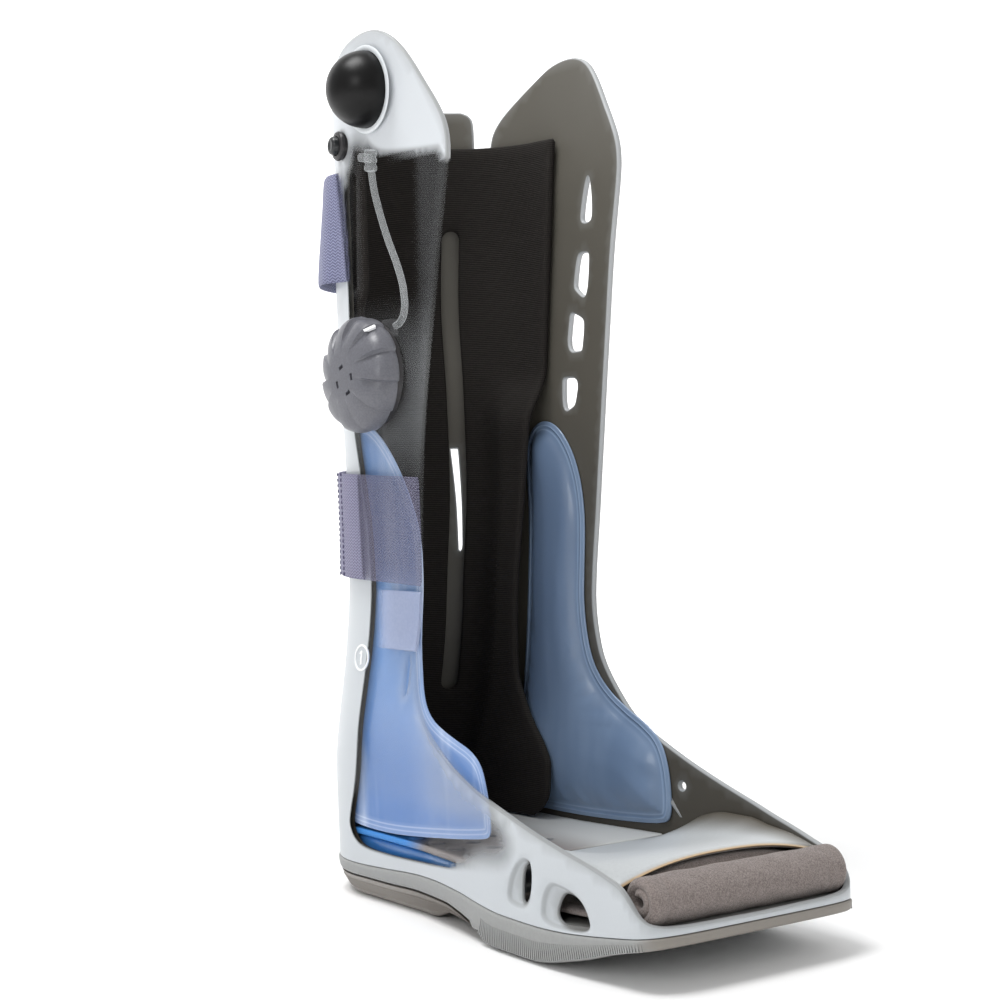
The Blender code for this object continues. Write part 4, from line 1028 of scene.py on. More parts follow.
near_film = film("near_film", rgb(66, 116, 184), rgb(108, 148, 204), rgb(200, 214, 238), 0.94, 0.95)
# The far cell's copy of the film is painted darker and greyer, as painted shade where it lies inside the far wall,
# and lighter low down, as a painted highlight.
shaded_far_film = film("shaded_far_film", rgb(122, 146, 178), rgb(104, 124, 152), rgb(164, 186, 214), 0.9, 0.3)
near_cell = air_cell("near_air_cell", -1.0, "near_cell", NEAR_CELL_EDGE, near_film)
far_cell = air_cell("far_air_cell", 1.0, "far_cell", CELL_EDGE, shaded_far_film)
print("cell faces", len(near_cell.data.polygons), len(far_cell.data.polygons))

# %% [markdown]
# ## The sole
# A pale rubber rocker runs the whole length, with a darker block under the heel. Both are stacks of outlines
# of the foot, each pulled in or out a little, so the sides bulge and the lower edge is rounded. The moulded
# ribs on the sides repeat hundreds of times along the outline, which is work for Geometry Nodes.

# %% Sole outlines
SOLE_BOTTOM = (
    (77.0, 4.0), (66.0, 1.0), (58.0, 0.0), (-34.0, 0.0), (-42.0, 2.0), (-50.0, 4.5), (-90.0, 4.5),
    (-98.0, 1.2), (-103.0, 0.0), (-134.0, 0.0), (-145.0, 1.5), (-156.0, 4.0), (-170.0, 7.5),
    (-184.0, 11.8), (-198.0, 15.4), (-212.0, 18.2),
)
HEEL_BLOCK_TOP = ((77.0, 10.5), (40.0, 10.5), (0.0, 10.8), (-30.0, 11.6), (-56.0, 11.4), (-70.0, 9.6),
                  (-84.0, 6.6))
SOLE_RUNS = np.linspace(-FULL_RUN, FULL_RUN, 321)[:-1]


def sole_bottom(y):
    return table(SOLE_BOTTOM, y)


def outline_at(offset, runs=SOLE_RUNS, z=17.0):
    return on_wall(runs, np.full(len(runs), z), offset)[:, :2]


def light_low(y):
    """Underside of the pale sole, above the heel block where there is one."""
    over_block = np.maximum(sole_bottom(y), table(HEEL_BLOCK_TOP, y) + 0.3)
    return np.where(y <= -84, sole_bottom(y), over_block)


def sole_row(offset, share):
    """A closed row of the pale sole, a share of the way up its side."""
    flat_xy = outline_at(offset)
    bottom_z, top_z = light_low(flat_xy[:, 1]), sole_line(flat_xy[:, 1]) - SOLE_SEAM
    return np.column_stack([flat_xy, bottom_z + share * (top_z - bottom_z)])


SOLE_FORM = ((-4.6, 0.0), (-2.6, 0.012), (-1.1, 0.05), (-0.3, 0.12), (0.1, 0.24), (0.4, 0.45), (0.6, 0.70),
             (0.6, 0.86), (0.4, 0.94), (-0.1, 0.985), (-0.9, 1.0))
rubber = Finish("pale_rubber", rgb(168, 170, 168), 0.55)
x, y, z = rubber.axes()
speck = rubber.noise(0.6, 3.0)
front_dark = (0.0 - y).step(200.0, 210.0) * 0.9
pale = rubber.blend(speck, rgb(144, 145, 144), rgb(158, 159, 158))
rubber.feed("Base Color", rubber.blend(front_dark, pale, rgb(134, 128, 120)))
rubber.bump(speck, 0.06, 0.5)
SOLE_SEAM = 0.35
verts, faces = crossed([sole_row(offset, share) for offset, share in SOLE_FORM], len(SOLE_RUNS))
rocker_sole = mesh_piece("rocker_sole", verts, faces, rubber, sharp=50)
place(rocker_sole, "boot", "outsole", "outsole")

tread = Finish("heel_rubber", rgb(132, 125, 118), 0.62)
x, y, z = tread.axes()
speck = tread.noise(0.5, 3.0)
fore = (0.0 - y).step(-10.0, 80.0)
tread.feed("Base Color", tread.blend(fore * 0.8 + speck * 0.2, rgb(158, 153, 148), rgb(104, 97, 90)))
tread.bump(speck, 0.08, 0.5)
HEEL_FORM = ((-9.0, 0.0), (-7.6, 0.02), (-6.2, 0.1), (-4.8, 0.3), (-3.4, 0.52), (-2.2, 0.74), (-1.3, 0.9),
             (-0.9, 1.0))
heel_runs = np.linspace(-1, 1, 161) * run_of(-79.6, 17.0)[0]


def heel_row(offset, share):
    """A closed row of the heel block, square across its front."""
    side = outline_at(offset, heel_runs)
    front = -80.6 - offset * 0.1
    width = float(half_width(front, 17.0)[0]) + offset
    across = np.linspace(-1, 1, 23)[1:-1]
    front_row = np.column_stack([width * across, front - 0.8 * (1 - np.abs(across))])
    loop = np.vstack([side, [(width, front)], front_row[::-1], [(-width, front)]])
    low, high = np.maximum(sole_bottom(loop[:, 1]), 0.0), table(HEEL_BLOCK_TOP, loop[:, 1]) - 0.3
    return np.column_stack([loop, low + share * (high - low)])


rows = [heel_row(*f) for f in HEEL_FORM]
verts, faces = loft(rows, caps=True)
heel_tread = mesh_piece("heel_tread", verts, faces, tread, sharp=50)
place(heel_tread, "boot", "heel_block", "heel_block")
print("sole", len(rocker_sole.data.polygons), "heel", len(heel_tread.data.polygons))

# %% [markdown]
# ### Ribs on the sole
# A Geometry Nodes tree walks a line and sets a small block at every pitch. The line carries two values at each
# of its points: which way is out, and how tall the block is. The same tree sews the stitches further on.

# %% Repeats along a line
def repeat_tree():
    """A tree that repeats a block along a line, turned to the line and to its outward direction."""
    tree = bpy.data.node_groups.new("blocks_along_line", "GeometryNodeTree")
    for name, kind in (("Line", "Geometry"), ("Pitch", "Float"), ("Length", "Float"), ("Depth", "Float"),
                       ("Height", "Float"), ("Finish", "Material")):
        tree.interface.new_socket(name, in_out="INPUT", socket_type="NodeSocket" + kind)
    tree.interface.new_socket("Blocks", in_out="OUTPUT", socket_type="NodeSocketGeometry")

    def add(kind, links=(), **settings):
        node = tree.nodes.new(kind)
        for key, value in settings.items():
            setattr(node, key, value)
        for key, source in links:
            tree.links.new(source, node.inputs[key])
        return node

    given = add("NodeGroupInput").outputs
    line = add("GeometryNodeMeshToCurve", [(0, given["Line"])])
    points = add("GeometryNodeCurveToPoints", [(0, line.outputs[0]), ("Length", given["Pitch"])], mode="LENGTH")
    out = add("GeometryNodeInputNamedAttribute", data_type="FLOAT_VECTOR")
    out.inputs["Name"].default_value = "out"
    tall = add("GeometryNodeInputNamedAttribute", data_type="FLOAT")
    tall.inputs["Name"].default_value = "tall"
    turn = add("FunctionNodeAlignRotationToVector", [("Vector", points.outputs["Tangent"])], axis="X")
    turn = add("FunctionNodeAlignRotationToVector", [("Rotation", turn.outputs[0]), ("Vector", out.outputs[0])],
               axis="Y", pivot_axis="X")
    size = add("ShaderNodeCombineXYZ", [(0, given["Length"]), (1, given["Depth"]), (2, given["Height"])])
    block = add("GeometryNodeMeshCube", [("Size", size.outputs[0])])
    scale = add("ShaderNodeCombineXYZ", [(2, tall.outputs[0])])
    scale.inputs[0].default_value = scale.inputs[1].default_value = 1.0
    copies = add("GeometryNodeInstanceOnPoints", [("Points", points.outputs[0]), ("Instance", block.outputs[0]),
                                                  ("Rotation", turn.outputs[0]), ("Scale", scale.outputs[0])])
    real = add("GeometryNodeRealizeInstances", [(0, copies.outputs[0])])
    dressed = add("GeometryNodeSetMaterial", [(0, real.outputs[0]), ("Material", given["Finish"])])
    add("NodeGroupOutput", [(0, dressed.outputs[0])])
    return tree


BLOCKS = repeat_tree()


def repeat_along(name, lines, pitch, size, finish):
    """Blocks of size (length, depth, height) along lines, given as (points, outward vectors, heights)."""
    points = np.concatenate([l[0] for l in lines]) * MM
    edges, base = [], 0
    for line in lines:
        edges += [(base + k, base + k + 1) for k in range(len(line[0]) - 1)]
        base += len(line[0])
    mesh = bpy.data.meshes.new(name + "_line")
    mesh.from_pydata(points.tolist(), edges, [])
    outs = np.concatenate([l[1] for l in lines]).astype(np.float32)
    mesh.attributes.new("out", "FLOAT_VECTOR", "POINT").data.foreach_set("vector", outs.ravel())
    talls = np.concatenate([l[2] for l in lines]).astype(np.float32)
    mesh.attributes.new("tall", "FLOAT", "POINT").data.foreach_set("value", talls)
    carrier = bpy.data.objects.new(name + "_line", mesh)
    collection.objects.link(carrier)
    modifier = carrier.modifiers.new("blocks", "NODES")
    modifier.node_group = BLOCKS
    names = {item.name: item.identifier for item in BLOCKS.interface.items_tree if item.in_out == "INPUT"}
    for key, value in zip(("Pitch", "Length", "Depth", "Height"), (pitch, *size)):
        modifier[names[key]] = value * MM
    modifier[names["Finish"]] = finish.material
    made = bpy.data.meshes.new_from_object(carrier.evaluated_get(bpy.context.evaluated_depsgraph_get()))
    bpy.data.objects.remove(carrier, do_unlink=True)
    obj = bpy.data.objects.new(name, made)
    collection.objects.link(obj)
    return obj


def wall_line(runs, z, offset, tall):
    """A line on the wall for repeats, with its outward direction."""
    points = on_wall(runs, z, offset)
    out = points - on_wall(runs, z, offset - 1.0)
    return points, out, np.broadcast_to(tall, len(points))


rib_lines = []
for sign in (-1.0, 1.0):
    runs = run_of(np.linspace(-94.0, -204.0, 90), 17.0, sign)
    y = flat_point(runs, np.full(90, 17.0))[1]
    low, high = light_low(y), sole_line(y)
    at = outline_at(0.15, runs)
    flat_points = np.column_stack([at, low + 0.36 * (high - low)])
    out = np.column_stack([at - outline_at(-0.85, runs), np.zeros(90)])
    rib_lines.append((flat_points, out, 0.5 * (high - low)))
sole_ribs = repeat_along("sole_ribs", rib_lines, 1.45, (0.75, 1.2, 1.0), rubber)
place(sole_ribs, "boot", "outsole", "outsole")

HEEL_LEAN = math.atan2(2.6, 4.4)
runs = heel_runs[2:-2]
at = outline_at(-3.5, runs)
y = outline_at(0.0, runs)[:, 1]
low, high = sole_bottom(y), table(HEEL_BLOCK_TOP, y)
out = np.column_stack([(at - outline_at(-4.5, runs)) * math.cos(HEEL_LEAN),
                       np.full(len(runs), -math.sin(HEEL_LEAN))])
heel_line = (np.column_stack([at, low + 0.52 * (high - low)]), out, 0.56 * (high - low))
heel_ribs = repeat_along("heel_ribs", [heel_line], 1.45, (0.7, 0.9, 1.0), tread)
place(heel_ribs, "boot", "heel_block", "heel_block")
print("ribs", len(sole_ribs.data.polygons), len(heel_ribs.data.polygons))

# %% [markdown]
# ## Insole, cushion and footplate
# The insole is a plate with a honeycomb of diamond openings, so it is another net. The footplate is one smooth
# sheet that rises to the toe and curls up at its sides. Under the insole lies the blue heel cushion.

# %% Insole
INSOLE_TOP, INSOLE_THICK, INSOLE_FRONT = 34.0, 3.0, -87.0


def plate_loop(front, z, offset, step=1.6):
    """A plan outline inside the wall, square across its front, as (x, y) points."""
    end = float(run_of(front + 3.0, z)[0])
    side = outline_at(offset, np.linspace(-end, end, 200), z)
    width = float(half_width(front, z)[0]) + offset
    loop = np.vstack([side, [(width - 2.0, front), (-(width - 2.0), front)]])
    return resample(loop, step, closed=True)


diamonds = []
for col in range(4):
    for row in range(6):
        cx, cy = -41.0 + 15.2 * col, 2.0 - 17.0 * row + (8.5 if col % 2 else 0.0)
        if cy < -72 or (col == 0 and row == 0):
            continue
        tip = [(cx - 5.2, cy), (cx - 1.6, cy - 4.6), (cx + 1.6, cy - 4.6), (cx + 5.2, cy), (cx + 1.6, cy + 4.6),
               (cx - 1.6, cy + 4.6)]
        diamonds.append(resample(corner_cut(tip, 2), 0.9, closed=True))


def shaded_plate_share(points):
    """The blue of the cushion shows in the insole along its near rear edge."""
    return ease(points[:, 0] * 0.8 - points[:, 1] * 0.9, -26.0, -6.0)


insole_loop = plate_loop(INSOLE_FRONT, 34.0, -WALL - 0.4)
flat, tris, edge_gap = net([insole_loop] + diamonds, 4.0, rows=(0.1, 0.35, 0.8))
drop = rounded(edge_gap, 0.8)
lattice = Finish("insole_grey_shadowed", rgb(132, 126, 124), 0.6)
x, y, z = lattice.axes()
speck = lattice.noise(0.8, 3.0)
# Painted shadow: the near half of the insole is painted taupe, as the shadow of the near air cell on it. The far
# half keeps the plate's pale grey.
out_of_cell_shadow = x.step(-8.0, 26.0)
cell_shadow_taupe = lattice.blend(speck, rgb(122, 116, 114), rgb(142, 136, 134))
pale_and_cell_shadow = lattice.blend(out_of_cell_shadow, cell_shadow_taupe, rgb(196, 198, 197))
lattice.feed("Base Color", lattice.blend(lattice.field("shaded_plate_share"), rgb(60, 134, 208), pale_and_cell_shadow))
lattice.bump(speck, 0.06, 0.4)
insole_plate = shell_solid("insole_plate", tris, np.column_stack([flat, INSOLE_TOP - drop]),
                           np.column_stack([flat, INSOLE_TOP - INSOLE_THICK + drop]), lattice,
                           {"shaded_plate_share": (shaded_plate_share(flat), shaded_plate_share(flat))}, 50)
place(insole_plate, "boot", "insole", "insole")

cushion_loop = plate_loop(-58.0, 34.0, -WALL - 2.5)
flat, tris, edge_gap = net([cushion_loop], 3.6, rows=(0.2, 0.8, 1.8, 3.2))
drop = rounded(edge_gap, 3.2)
gel = Finish("blue_gel", rgb(62, 130, 206), 0.3)
shade = gel.noise(0.03, 2.0)
gel.feed("Base Color", gel.blend(shade, rgb(40, 108, 190), rgb(86, 152, 220)))
gel.shader.inputs["Coat Weight"].default_value = 0.4
gel.bump(gel.noise(0.4, 2.0), 0.1, 0.4)
heel_cushion = shell_solid("heel_cushion", tris, np.column_stack([flat, 30.6 - drop * 0.8]),
                           np.column_stack([flat, sole_line(flat[:, 1]) + WALL + 0.4 + drop * 0.8]), gel, None, 50)
place(heel_cushion, "boot", "heel_cell", "heel_cell")

# %% Footplate
PLATE_ROWS = (
    # y, middle z, edge z
    (-88.4, 34.0, 34.2), (-95.0, 34.2, 36.6), (-103.0, 35.0, 41.4), (-114.0, 36.8, 47.4), (-128.0, 39.6, 50.4),
    (-143.0, 42.6, 50.4), (-157.0, 45.4, 48.0), (-171.0, 47.8, 46.0), (-182.0, 49.0, 43.2), (-189.0, 49.4, 41.0),
)
PLATE_REAR, PLATE_FRONT, PLATE_STEPS = -88.4, -189.0, 61
plate_y = np.linspace(PLATE_REAR, PLATE_FRONT, PLATE_STEPS)
plate_u = np.linspace(-1, 1, PLATE_STEPS)
plate_rows = np.array(sorted(PLATE_ROWS))
middle = smooth(plate_rows[:, 0], plate_rows[:, 1], plate_y)
rise = smooth(plate_rows[:, 0], plate_rows[:, 2], plate_y) - middle
grid_y, grid_u = np.meshgrid(plate_y, plate_u, indexing="ij")
grid_z = middle[:, None] + rise[:, None] * np.abs(grid_u) ** 2.4
grid_w = half_width(grid_y.ravel(), (middle + rise).repeat(PLATE_STEPS)).reshape(grid_y.shape) - WALL - 0.6
from_edge = np.minimum(np.minimum(grid_y - PLATE_FRONT, PLATE_REAR - grid_y), (1 - np.abs(grid_u)) * grid_w)
drop = rounded(from_edge, 1.1)
top = np.stack([grid_w * grid_u, grid_y, grid_z - drop], axis=-1).reshape(-1, 3)
under = np.stack([grid_w * grid_u, grid_y, grid_z - 2.4 + drop], axis=-1).reshape(-1, 3)
plate_white = Finish("plate_grey", rgb(200, 203, 204), 0.42)
x, y, z = plate_white.axes()
speck = plate_white.noise(0.7, 3.0)
# Painted highlight: a thin light tan line along the plate's front edge.
tan_edge_highlight = (0.0 - y).step(187.6, 188.8)
pale = plate_white.blend(speck, rgb(178, 182, 184), rgb(192, 196, 198))
# Painted shade: the far side's curled edge is painted dark, as the shade between the plate and the far wall.
pale = plate_white.blend(plate_white.field("curl_shade"), pale, rgb(92, 87, 78))
plate_white.feed("Base Color", plate_white.blend(tan_edge_highlight, pale, rgb(196, 170, 134)))
plate_white.bump(speck, 0.05, 0.5)
# Where the painted shade lies on the far curled edge.
curl_shade = ease(grid_u.ravel(), 0.52, 0.98) * ease(-grid_y.ravel(), -188, -150)
foot_plate = mesh_piece("foot_plate", np.vstack([top, under]), sheet_faces(PLATE_STEPS, PLATE_STEPS), plate_white,
                        {"curl_shade": np.tile(curl_shade, 2)}, sharp=50)
place(foot_plate, "boot", "footplate", "footplate")
print("insole", len(insole_plate.data.polygons), "footplate", len(foot_plate.data.polygons))

# %% [markdown]
# ## The toe fleece
# A strip of fleece comes forward under the footplate and is rolled up at the toe. A roll is a spiral, so its
# side view is drawn as one centre line that winds inwards, given the cloth's thickness, and carried across the
# boot. The cut ends are rounded, which is what makes the swirl read as cloth.

# %% Fleece
ROLL_Y, ROLL_Z = -197.3, 35.6
HALF_PILE = 2.55
turns = np.linspace(0, 2 * math.pi * 1.62, 110)
spiral_r = 8.95 - 3.75 * turns / turns[-1] * 1.62
spin = -math.pi / 2 - turns
spiral = np.stack([ROLL_Y + spiral_r * np.cos(spin), ROLL_Z + spiral_r * np.sin(spin)], axis=1)
tail = np.array([(-114.0, 24.0), (-130.0, 23.6), (-150.0, 23.8), (-170.0, 25.0), (-184.0, 27.0), (-191.0, 27.7)])
strip = resample(np.vstack([corner_cut(tail, 2, closed=False), spiral[1:]]), 0.9)
strip_along = np.linspace(0, 1, len(strip))
ahead = np.gradient(strip, axis=0)
strip_normal = np.stack([-ahead[:, 1], ahead[:, 0]], axis=1) / np.linalg.norm(ahead, axis=1)[:, None]
HALF_ROLL = 54.8
across = np.concatenate([-HALF_ROLL + HALF_PILE * (1 - np.cos(np.linspace(0, math.pi / 2, 6))),
                         np.linspace(-HALF_ROLL + HALF_PILE, HALF_ROLL - HALF_PILE, 90)[1:-1],
                         HALF_ROLL - HALF_PILE * (1 - np.cos(np.linspace(math.pi / 2, 0, 6)))])
rows = []
for x in across:
    end = min(1.0, max(0.0, (HALF_ROLL - abs(x)) / HALF_PILE))
    half = max(0.05, HALF_PILE * math.sqrt(max(0.0, 1 - (1 - end) ** 2)))
    seams = sum(0.75 * math.exp(-((x - s) / 0.55) ** 2) for s in (43.6, 48.2))
    seams = seams + 0.7 * math.exp(-((x + 46.0) / 0.7) ** 2)
    lumps = 0.12 * np.sin(strip_along * 90 + x * 0.31) + 0.1 * np.sin(strip_along * 41 - x * 0.23)
    near_end = np.clip(np.minimum(np.arange(len(strip)), np.arange(len(strip))[::-1]) * 0.9 / HALF_PILE, 0.05, 1)
    thick = (half - seams * (end >= 1) + lumps * end) * np.sqrt(1 - (1 - near_end) ** 2)
    thin = np.clip(thick, 0.04, None)
    tail_thin = np.where(strip[:, 0] > -186.0, 0.62, 1.0)
    aside = strip_normal * (thin * tail_thin)[:, None]
    loop = np.vstack([strip + aside, (strip - aside)[::-1]])
    rows.append(np.column_stack([np.full(len(loop), x), loop]))
verts, faces = loft(rows, caps=False)
count = len(rows[0])
for r, flip in ((0, True), (len(rows) - 1, False)):
    for k in range(len(strip) - 1):
        quad = (r * count + k, r * count + k + 1, r * count + count - 2 - k, r * count + count - 1 - k)
        faces.append(quad[::-1] if flip else quad)
fleece = Finish("grey_fleece", rgb(152, 140, 136), 0.95)
pile = fleece.noise(1.5, 4.0, rough=0.7)
tuft = fleece.noise(0.28, 3.0)
wool = pile.step(0.3, 0.7) * 0.7 + tuft * 0.3
fleece.feed("Base Color", fleece.blend(wool, rgb(96, 86, 83), rgb(160, 149, 144)))
fleece.shader.inputs["Sheen Weight"].default_value = 0.2
fleece.bump(pile * 0.7 + tuft * 0.3, 0.9, 0.8)
toe_roll = mesh_piece("toe_roll", verts, faces, fleece, sharp=80)
place(toe_roll, "boot", "fleece", "toe_fleece")


def fold_row(x, size):
    """One section of the doubled strip under the footplate, as a loop of (x, y, z)."""
    turn = np.linspace(0, 2 * math.pi, 36, endpoint=False)
    u = min(1.0, abs(x) / FOLD_HALF)
    roof = float(table([(r[0], r[1]) for r in PLATE_ROWS], -182.0)[0]) - 3.2 - 7.6 * u**2.4
    half = FOLD_THICK / 2 * size
    front, rear = FOLD_Y[0] + FOLD_THICK / 2, FOLD_Y[1] - FOLD_THICK / 2
    y = np.where(np.cos(turn) < 0, front, rear) + half * np.cos(turn)
    dent = 1 - 0.22 * np.exp(-((np.sin(turn)) / 0.16) ** 2)
    y = np.where(np.cos(turn) < 0, front + half * np.cos(turn) * dent, y)
    return np.column_stack([np.full(36, x), y, roof - FOLD_THICK / 2 + half * np.sin(turn)])


FOLD_Y, FOLD_THICK, FOLD_HALF = (-190.0, -168.0), 9.0, 53.0
fold_x = np.concatenate([-FOLD_HALF + 3 * (1 - np.cos(np.linspace(0, math.pi / 2, 6))), np.linspace(-49, 49, 60),
                         FOLD_HALF - 3 * (1 - np.cos(np.linspace(math.pi / 2, 0, 6)))])
fold_size = [math.sqrt(max(0.02, 1 - max(0.0, (abs(x) - FOLD_HALF + 3) / 3) ** 2)) for x in fold_x]
verts, faces = loft([fold_row(x, s) for x, s in zip(fold_x, fold_size)])
toe_fold = mesh_piece("toe_fold", verts, faces, fleece, sharp=80)
place(toe_fold, "boot", "fleece", "toe_fleece")
print("fleece faces", len(toe_roll.data.polygons))

# %% [markdown]
# ## The webbing
# Two woven straps pass round the back. Each is a thin band carried round the wall at its own height and
# clearance. The twill is a finish that follows the band, so the band's points carry their own lengthwise and
# crosswise distances. The stitches are real: one short bar of thread, repeated along a line.

# %% Straps
def strap(name, runs, low, high, offset, thick, finish, look=None, hang=0.0):
    """A woven band round the wall between two heights, with rounded selvedges.

    hang lets its lower edge stand off the wall.
    """
    across = np.array([0.0, 0.012, 0.04, 0.1, 0.25, 0.5, 0.75, 0.9, 0.96, 0.988, 1.0])
    pinch = np.array([0.9, 0.45, 0.12, 0.0, 0.0, 0.0, 0.0, 0.0, 0.12, 0.45, 0.9])
    grids = []
    for face in (1.0, 0.0):
        grid = []
        for t, p in zip(across, pinch):
            z = low(runs) + (high(runs) - low(runs)) * t
            sag = 0.12 * np.sin(runs * 0.21 + t * 5) * np.sin(t * math.pi)
            level_out = offset(runs) + hang * (1 - t) * ease(offset(runs), 1.0, 4.0) + sag
            level_out = level_out + thick * (0.5 + (face - 0.5) * (1 - p))
            grid.append(on_wall(runs, z, level_out))
        grids.append(np.array(grid))
    rows_n, cols = grids[0].shape[:2]
    total = rows_n * cols
    faces = sheet_faces(rows_n, cols)
    verts = np.vstack([g.reshape(-1, 3) for g in grids])
    along = np.tile(runs, rows_n)
    up_band = np.repeat(across, cols) * float(np.mean(high(runs) - low(runs)))
    fields = {"along": np.tile(along, 2), "across": np.tile(up_band, 2),
              "solid_look": np.ones(2 * total) if look is None else np.tile(look(verts[:total]), 2)}
    return mesh_piece(name, verts, faces, finish, fields, sharp=60)


def twill(name, dark, light, faded):
    """A herringbone webbing, with columns that run across the band."""
    made = Finish(name, light, 0.82)
    along, across = made.field("along"), made.field("across")
    column = along.maths("PINGPONG", along, 1.3)
    zig = (across + column * 0.9).wave(1.5) * 0.5 + 0.5
    ridge = along.wave(1.3) * 0.5 + 0.5
    wool = made.noise(0.9, 3.0)
    made.feed("Base Color", made.blend(zig.step(0.2, 0.8) * 0.75 + wool * 0.25, dark, light))
    if faded:
        made.feed("Alpha", made.field("solid_look"))
    made.shader.inputs["Sheen Weight"].default_value = 0.15
    made.bump(zig * 0.7 + ridge * 0.3, 0.32, 0.9)
    return made


UPPER = (303.5, 356.5)
upper_web = twill("lilac_webbing", rgb(84, 86, 116), rgb(144, 147, 178), True)
near_run, far_run = float(NEAR_STRAP), float(FAR_STRAP)
upper_runs = np.linspace(near_run, far_run, 150)


def upper_offset(runs):
    reach = np.minimum(runs - near_run, far_run - runs) / HEEL_RUN * 90
    return np.where(reach < 0.6, -0.5 + reach * 2, 0.8 + 3.2 * ease(reach, 2.5, 20.5))


def upper_look(points):
    """The strap's front end is drawn faded, so that the liner shows."""
    edge = 7.3 + (points[:, 2] - 299.3) * 0.11
    return np.where(points[:, 0] < 0, ease(points[:, 1] - edge, -0.8, 1.2), 1.0)


def level_at(z):
    """A band's edge that stays at one height."""
    return lambda runs: np.full(len(runs), z)


upper_webbing = strap("upper_webbing", upper_runs, level_at(UPPER[0]), level_at(UPPER[1]), upper_offset, 1.8,
                      upper_web, upper_look, 3.2)
place(upper_webbing, "boot", "webbing", "upper_strap")

middle_web = twill("violet_webbing", rgb(80, 78, 106), rgb(152, 150, 178), True)
middle_runs = np.linspace(float(wall_run(-139)), float(wall_run(18)), 170)
lean = lambda r: 4 * np.clip((r - middle_runs[0]) / 98, 0, 1)


def strap_look(points):
    """The strap is drawn faded where the air cell shows through it."""
    return 1 - 0.62 * ease(-points[:, 1], -3.2, -0.8) * (points[:, 0] < 0)


middle_webbing = strap("middle_webbing", middle_runs, lambda r: 157.0 + lean(r), lambda r: 208.0 + lean(r),
                       lambda r: 0.6 + 2.0 * ease(r - middle_runs[0], 0, 56), 1.8, middle_web, strap_look)
place(middle_webbing, "boot", "webbing", "middle_strap")

STITCH_RUNS = (-58.5, -67.5)
dark_thread, _ = speckled("dark_thread", rgb(74, 68, 98), 0.8, 2.0, 2.0, rgb(60, 56, 84), rgb(96, 90, 124))
stitch_z = np.linspace(161.0, 210.0, 30)
seam_lines = [wall_line(np.full(30, r), stitch_z, 4.5, 1.0) for r in STITCH_RUNS]
strap_stitches = repeat_along("strap_stitches", seam_lines, 2.6, (1.5, 0.7, 1.1), dark_thread)
place(strap_stitches, "boot", "webbing", "middle_strap")

# %% [markdown]
# ### The number and the guide
# A figure in a ring is moulded a hair proud of the near wall, so it is a net laid on the wall and given a third
# of a millimetre. The guide is a low pale band that steadies the strap, and it follows the wall in the same way.

# %% Number
def raised_mark(name, loops, finish, height=0.35):
    """Flat raised shapes on the wall, from (run, z) outlines. The first is the edge and the rest are holes."""
    points, triangles, gap = net(loops, 2.0, rows=(0.12,))
    low, high = on_wall(points[:, 0], points[:, 1], -0.3), on_wall(points[:, 0], points[:, 1], height)
    made = shell_solid(name, triangles, high, low, finish, None, 40)
    return place(made, "boot", "shell")


mark_white, _ = speckled("mark_white", rgb(246, 247, 248), 0.5, 1.2, 2.0, rgb(238, 239, 241), rgb(250, 251, 252))
NUMBER_RUN, NUMBER_Z = float(run_of(11.0, 120.0, -1.0)[0]), 120.4
raised_mark("number_ring", [disc(NUMBER_RUN, NUMBER_Z, 6.6, 0.7), disc(NUMBER_RUN, NUMBER_Z, 5.6, 0.7)], mark_white)
FIGURE = ((-0.6, -3.4), (0.7, -3.4), (0.7, 3.6), (-0.1, 3.6), (-1.7, 2.4), (-1.7, 1.4), (-0.6, 2.0))
figure = np.array([(NUMBER_RUN - across, NUMBER_Z + up) for across, up in FIGURE])
raised_mark("number_one", [resample(figure, 0.8, True)], mark_white)

# %% Side guide
guide_pale, _ = speckled("guide_pale", rgb(190, 200, 220), 0.4, 0.7, 2.0, rgb(156, 168, 200),
                         rgb(176, 186, 214), 0.05)
guide_pale.feed("Alpha", guide_pale.field("solid_look"))
guide_runs = run_of(np.linspace(-41.0, -4.0, 40), 140.0, -1.0)
guide_band = strap("guide_band", guide_runs, level_at(126.4), level_at(154.4), level_at(0.5), 1.6, guide_pale,
                   look=lambda p: 0.62 * ease(-p[:, 1], 4.0, 16.0))
place(guide_band, "boot", "guide", "side_guide")
print("straps", len(upper_webbing.data.polygons), len(middle_webbing.data.polygons))

# %% [markdown]
# ## The selector
# A scalloped knob turns on a round seat. Its skirt has eleven finger grooves that die away towards a smooth domed
# face, and four small slots lie round the middle. The knob rides on its own body, so the slots are cut and
# the grooves shaped in one mesh that turns as a whole.

# %% Selector
def groove(angle):
    """How deep a finger groove is: it sinks slowly round the knob and ends in a sharp step."""
    turn = (angle * 11 / (2 * math.pi)) % 1.0
    return turn**2.2 if turn < 0.93 else (1 - turn) / 0.07


def knob_shape(angle, r, h):
    skirt = float(ease(r, 16.0, 25.5))
    wedge = float(ease(r, 11.0, 22.0)) * float(ease(h, 6.0, 10.0))
    return r * (1 - 0.050 * groove(angle) * skirt), h - 2.3 * groove(angle) * wedge


KNOB = [(0, 10.5), (4.6, 10.5), (4.6, 4.0), (25.2, 4.0), (26.4, 3.2), (27.3, 3.6), (27.8, 6.0), (27.6, 8.6),
        (26.8, 11.6), (25.0, 14.2), (21.6, 16.4), (17.4, 17.9), (12.0, 18.7), (6.0, 18.9), (0, 19.0)]
verts, faces = turned(dense_profile(KNOB, 0.75), DIAL_AT, (-1, 0, 0), 264, knob_shape)
grey_nylon, speck = speckled("grey_nylon", rgb(122, 123, 130), 0.42, 1.1, 4.0, rgb(82, 82, 88),
                             rgb(116, 117, 124), 0.07)
grey_nylon.feed("Roughness", speck * 0.12 + 0.28)
dial_knob = mesh_piece("dial_knob", verts, faces, grey_nylon, sharp=32)


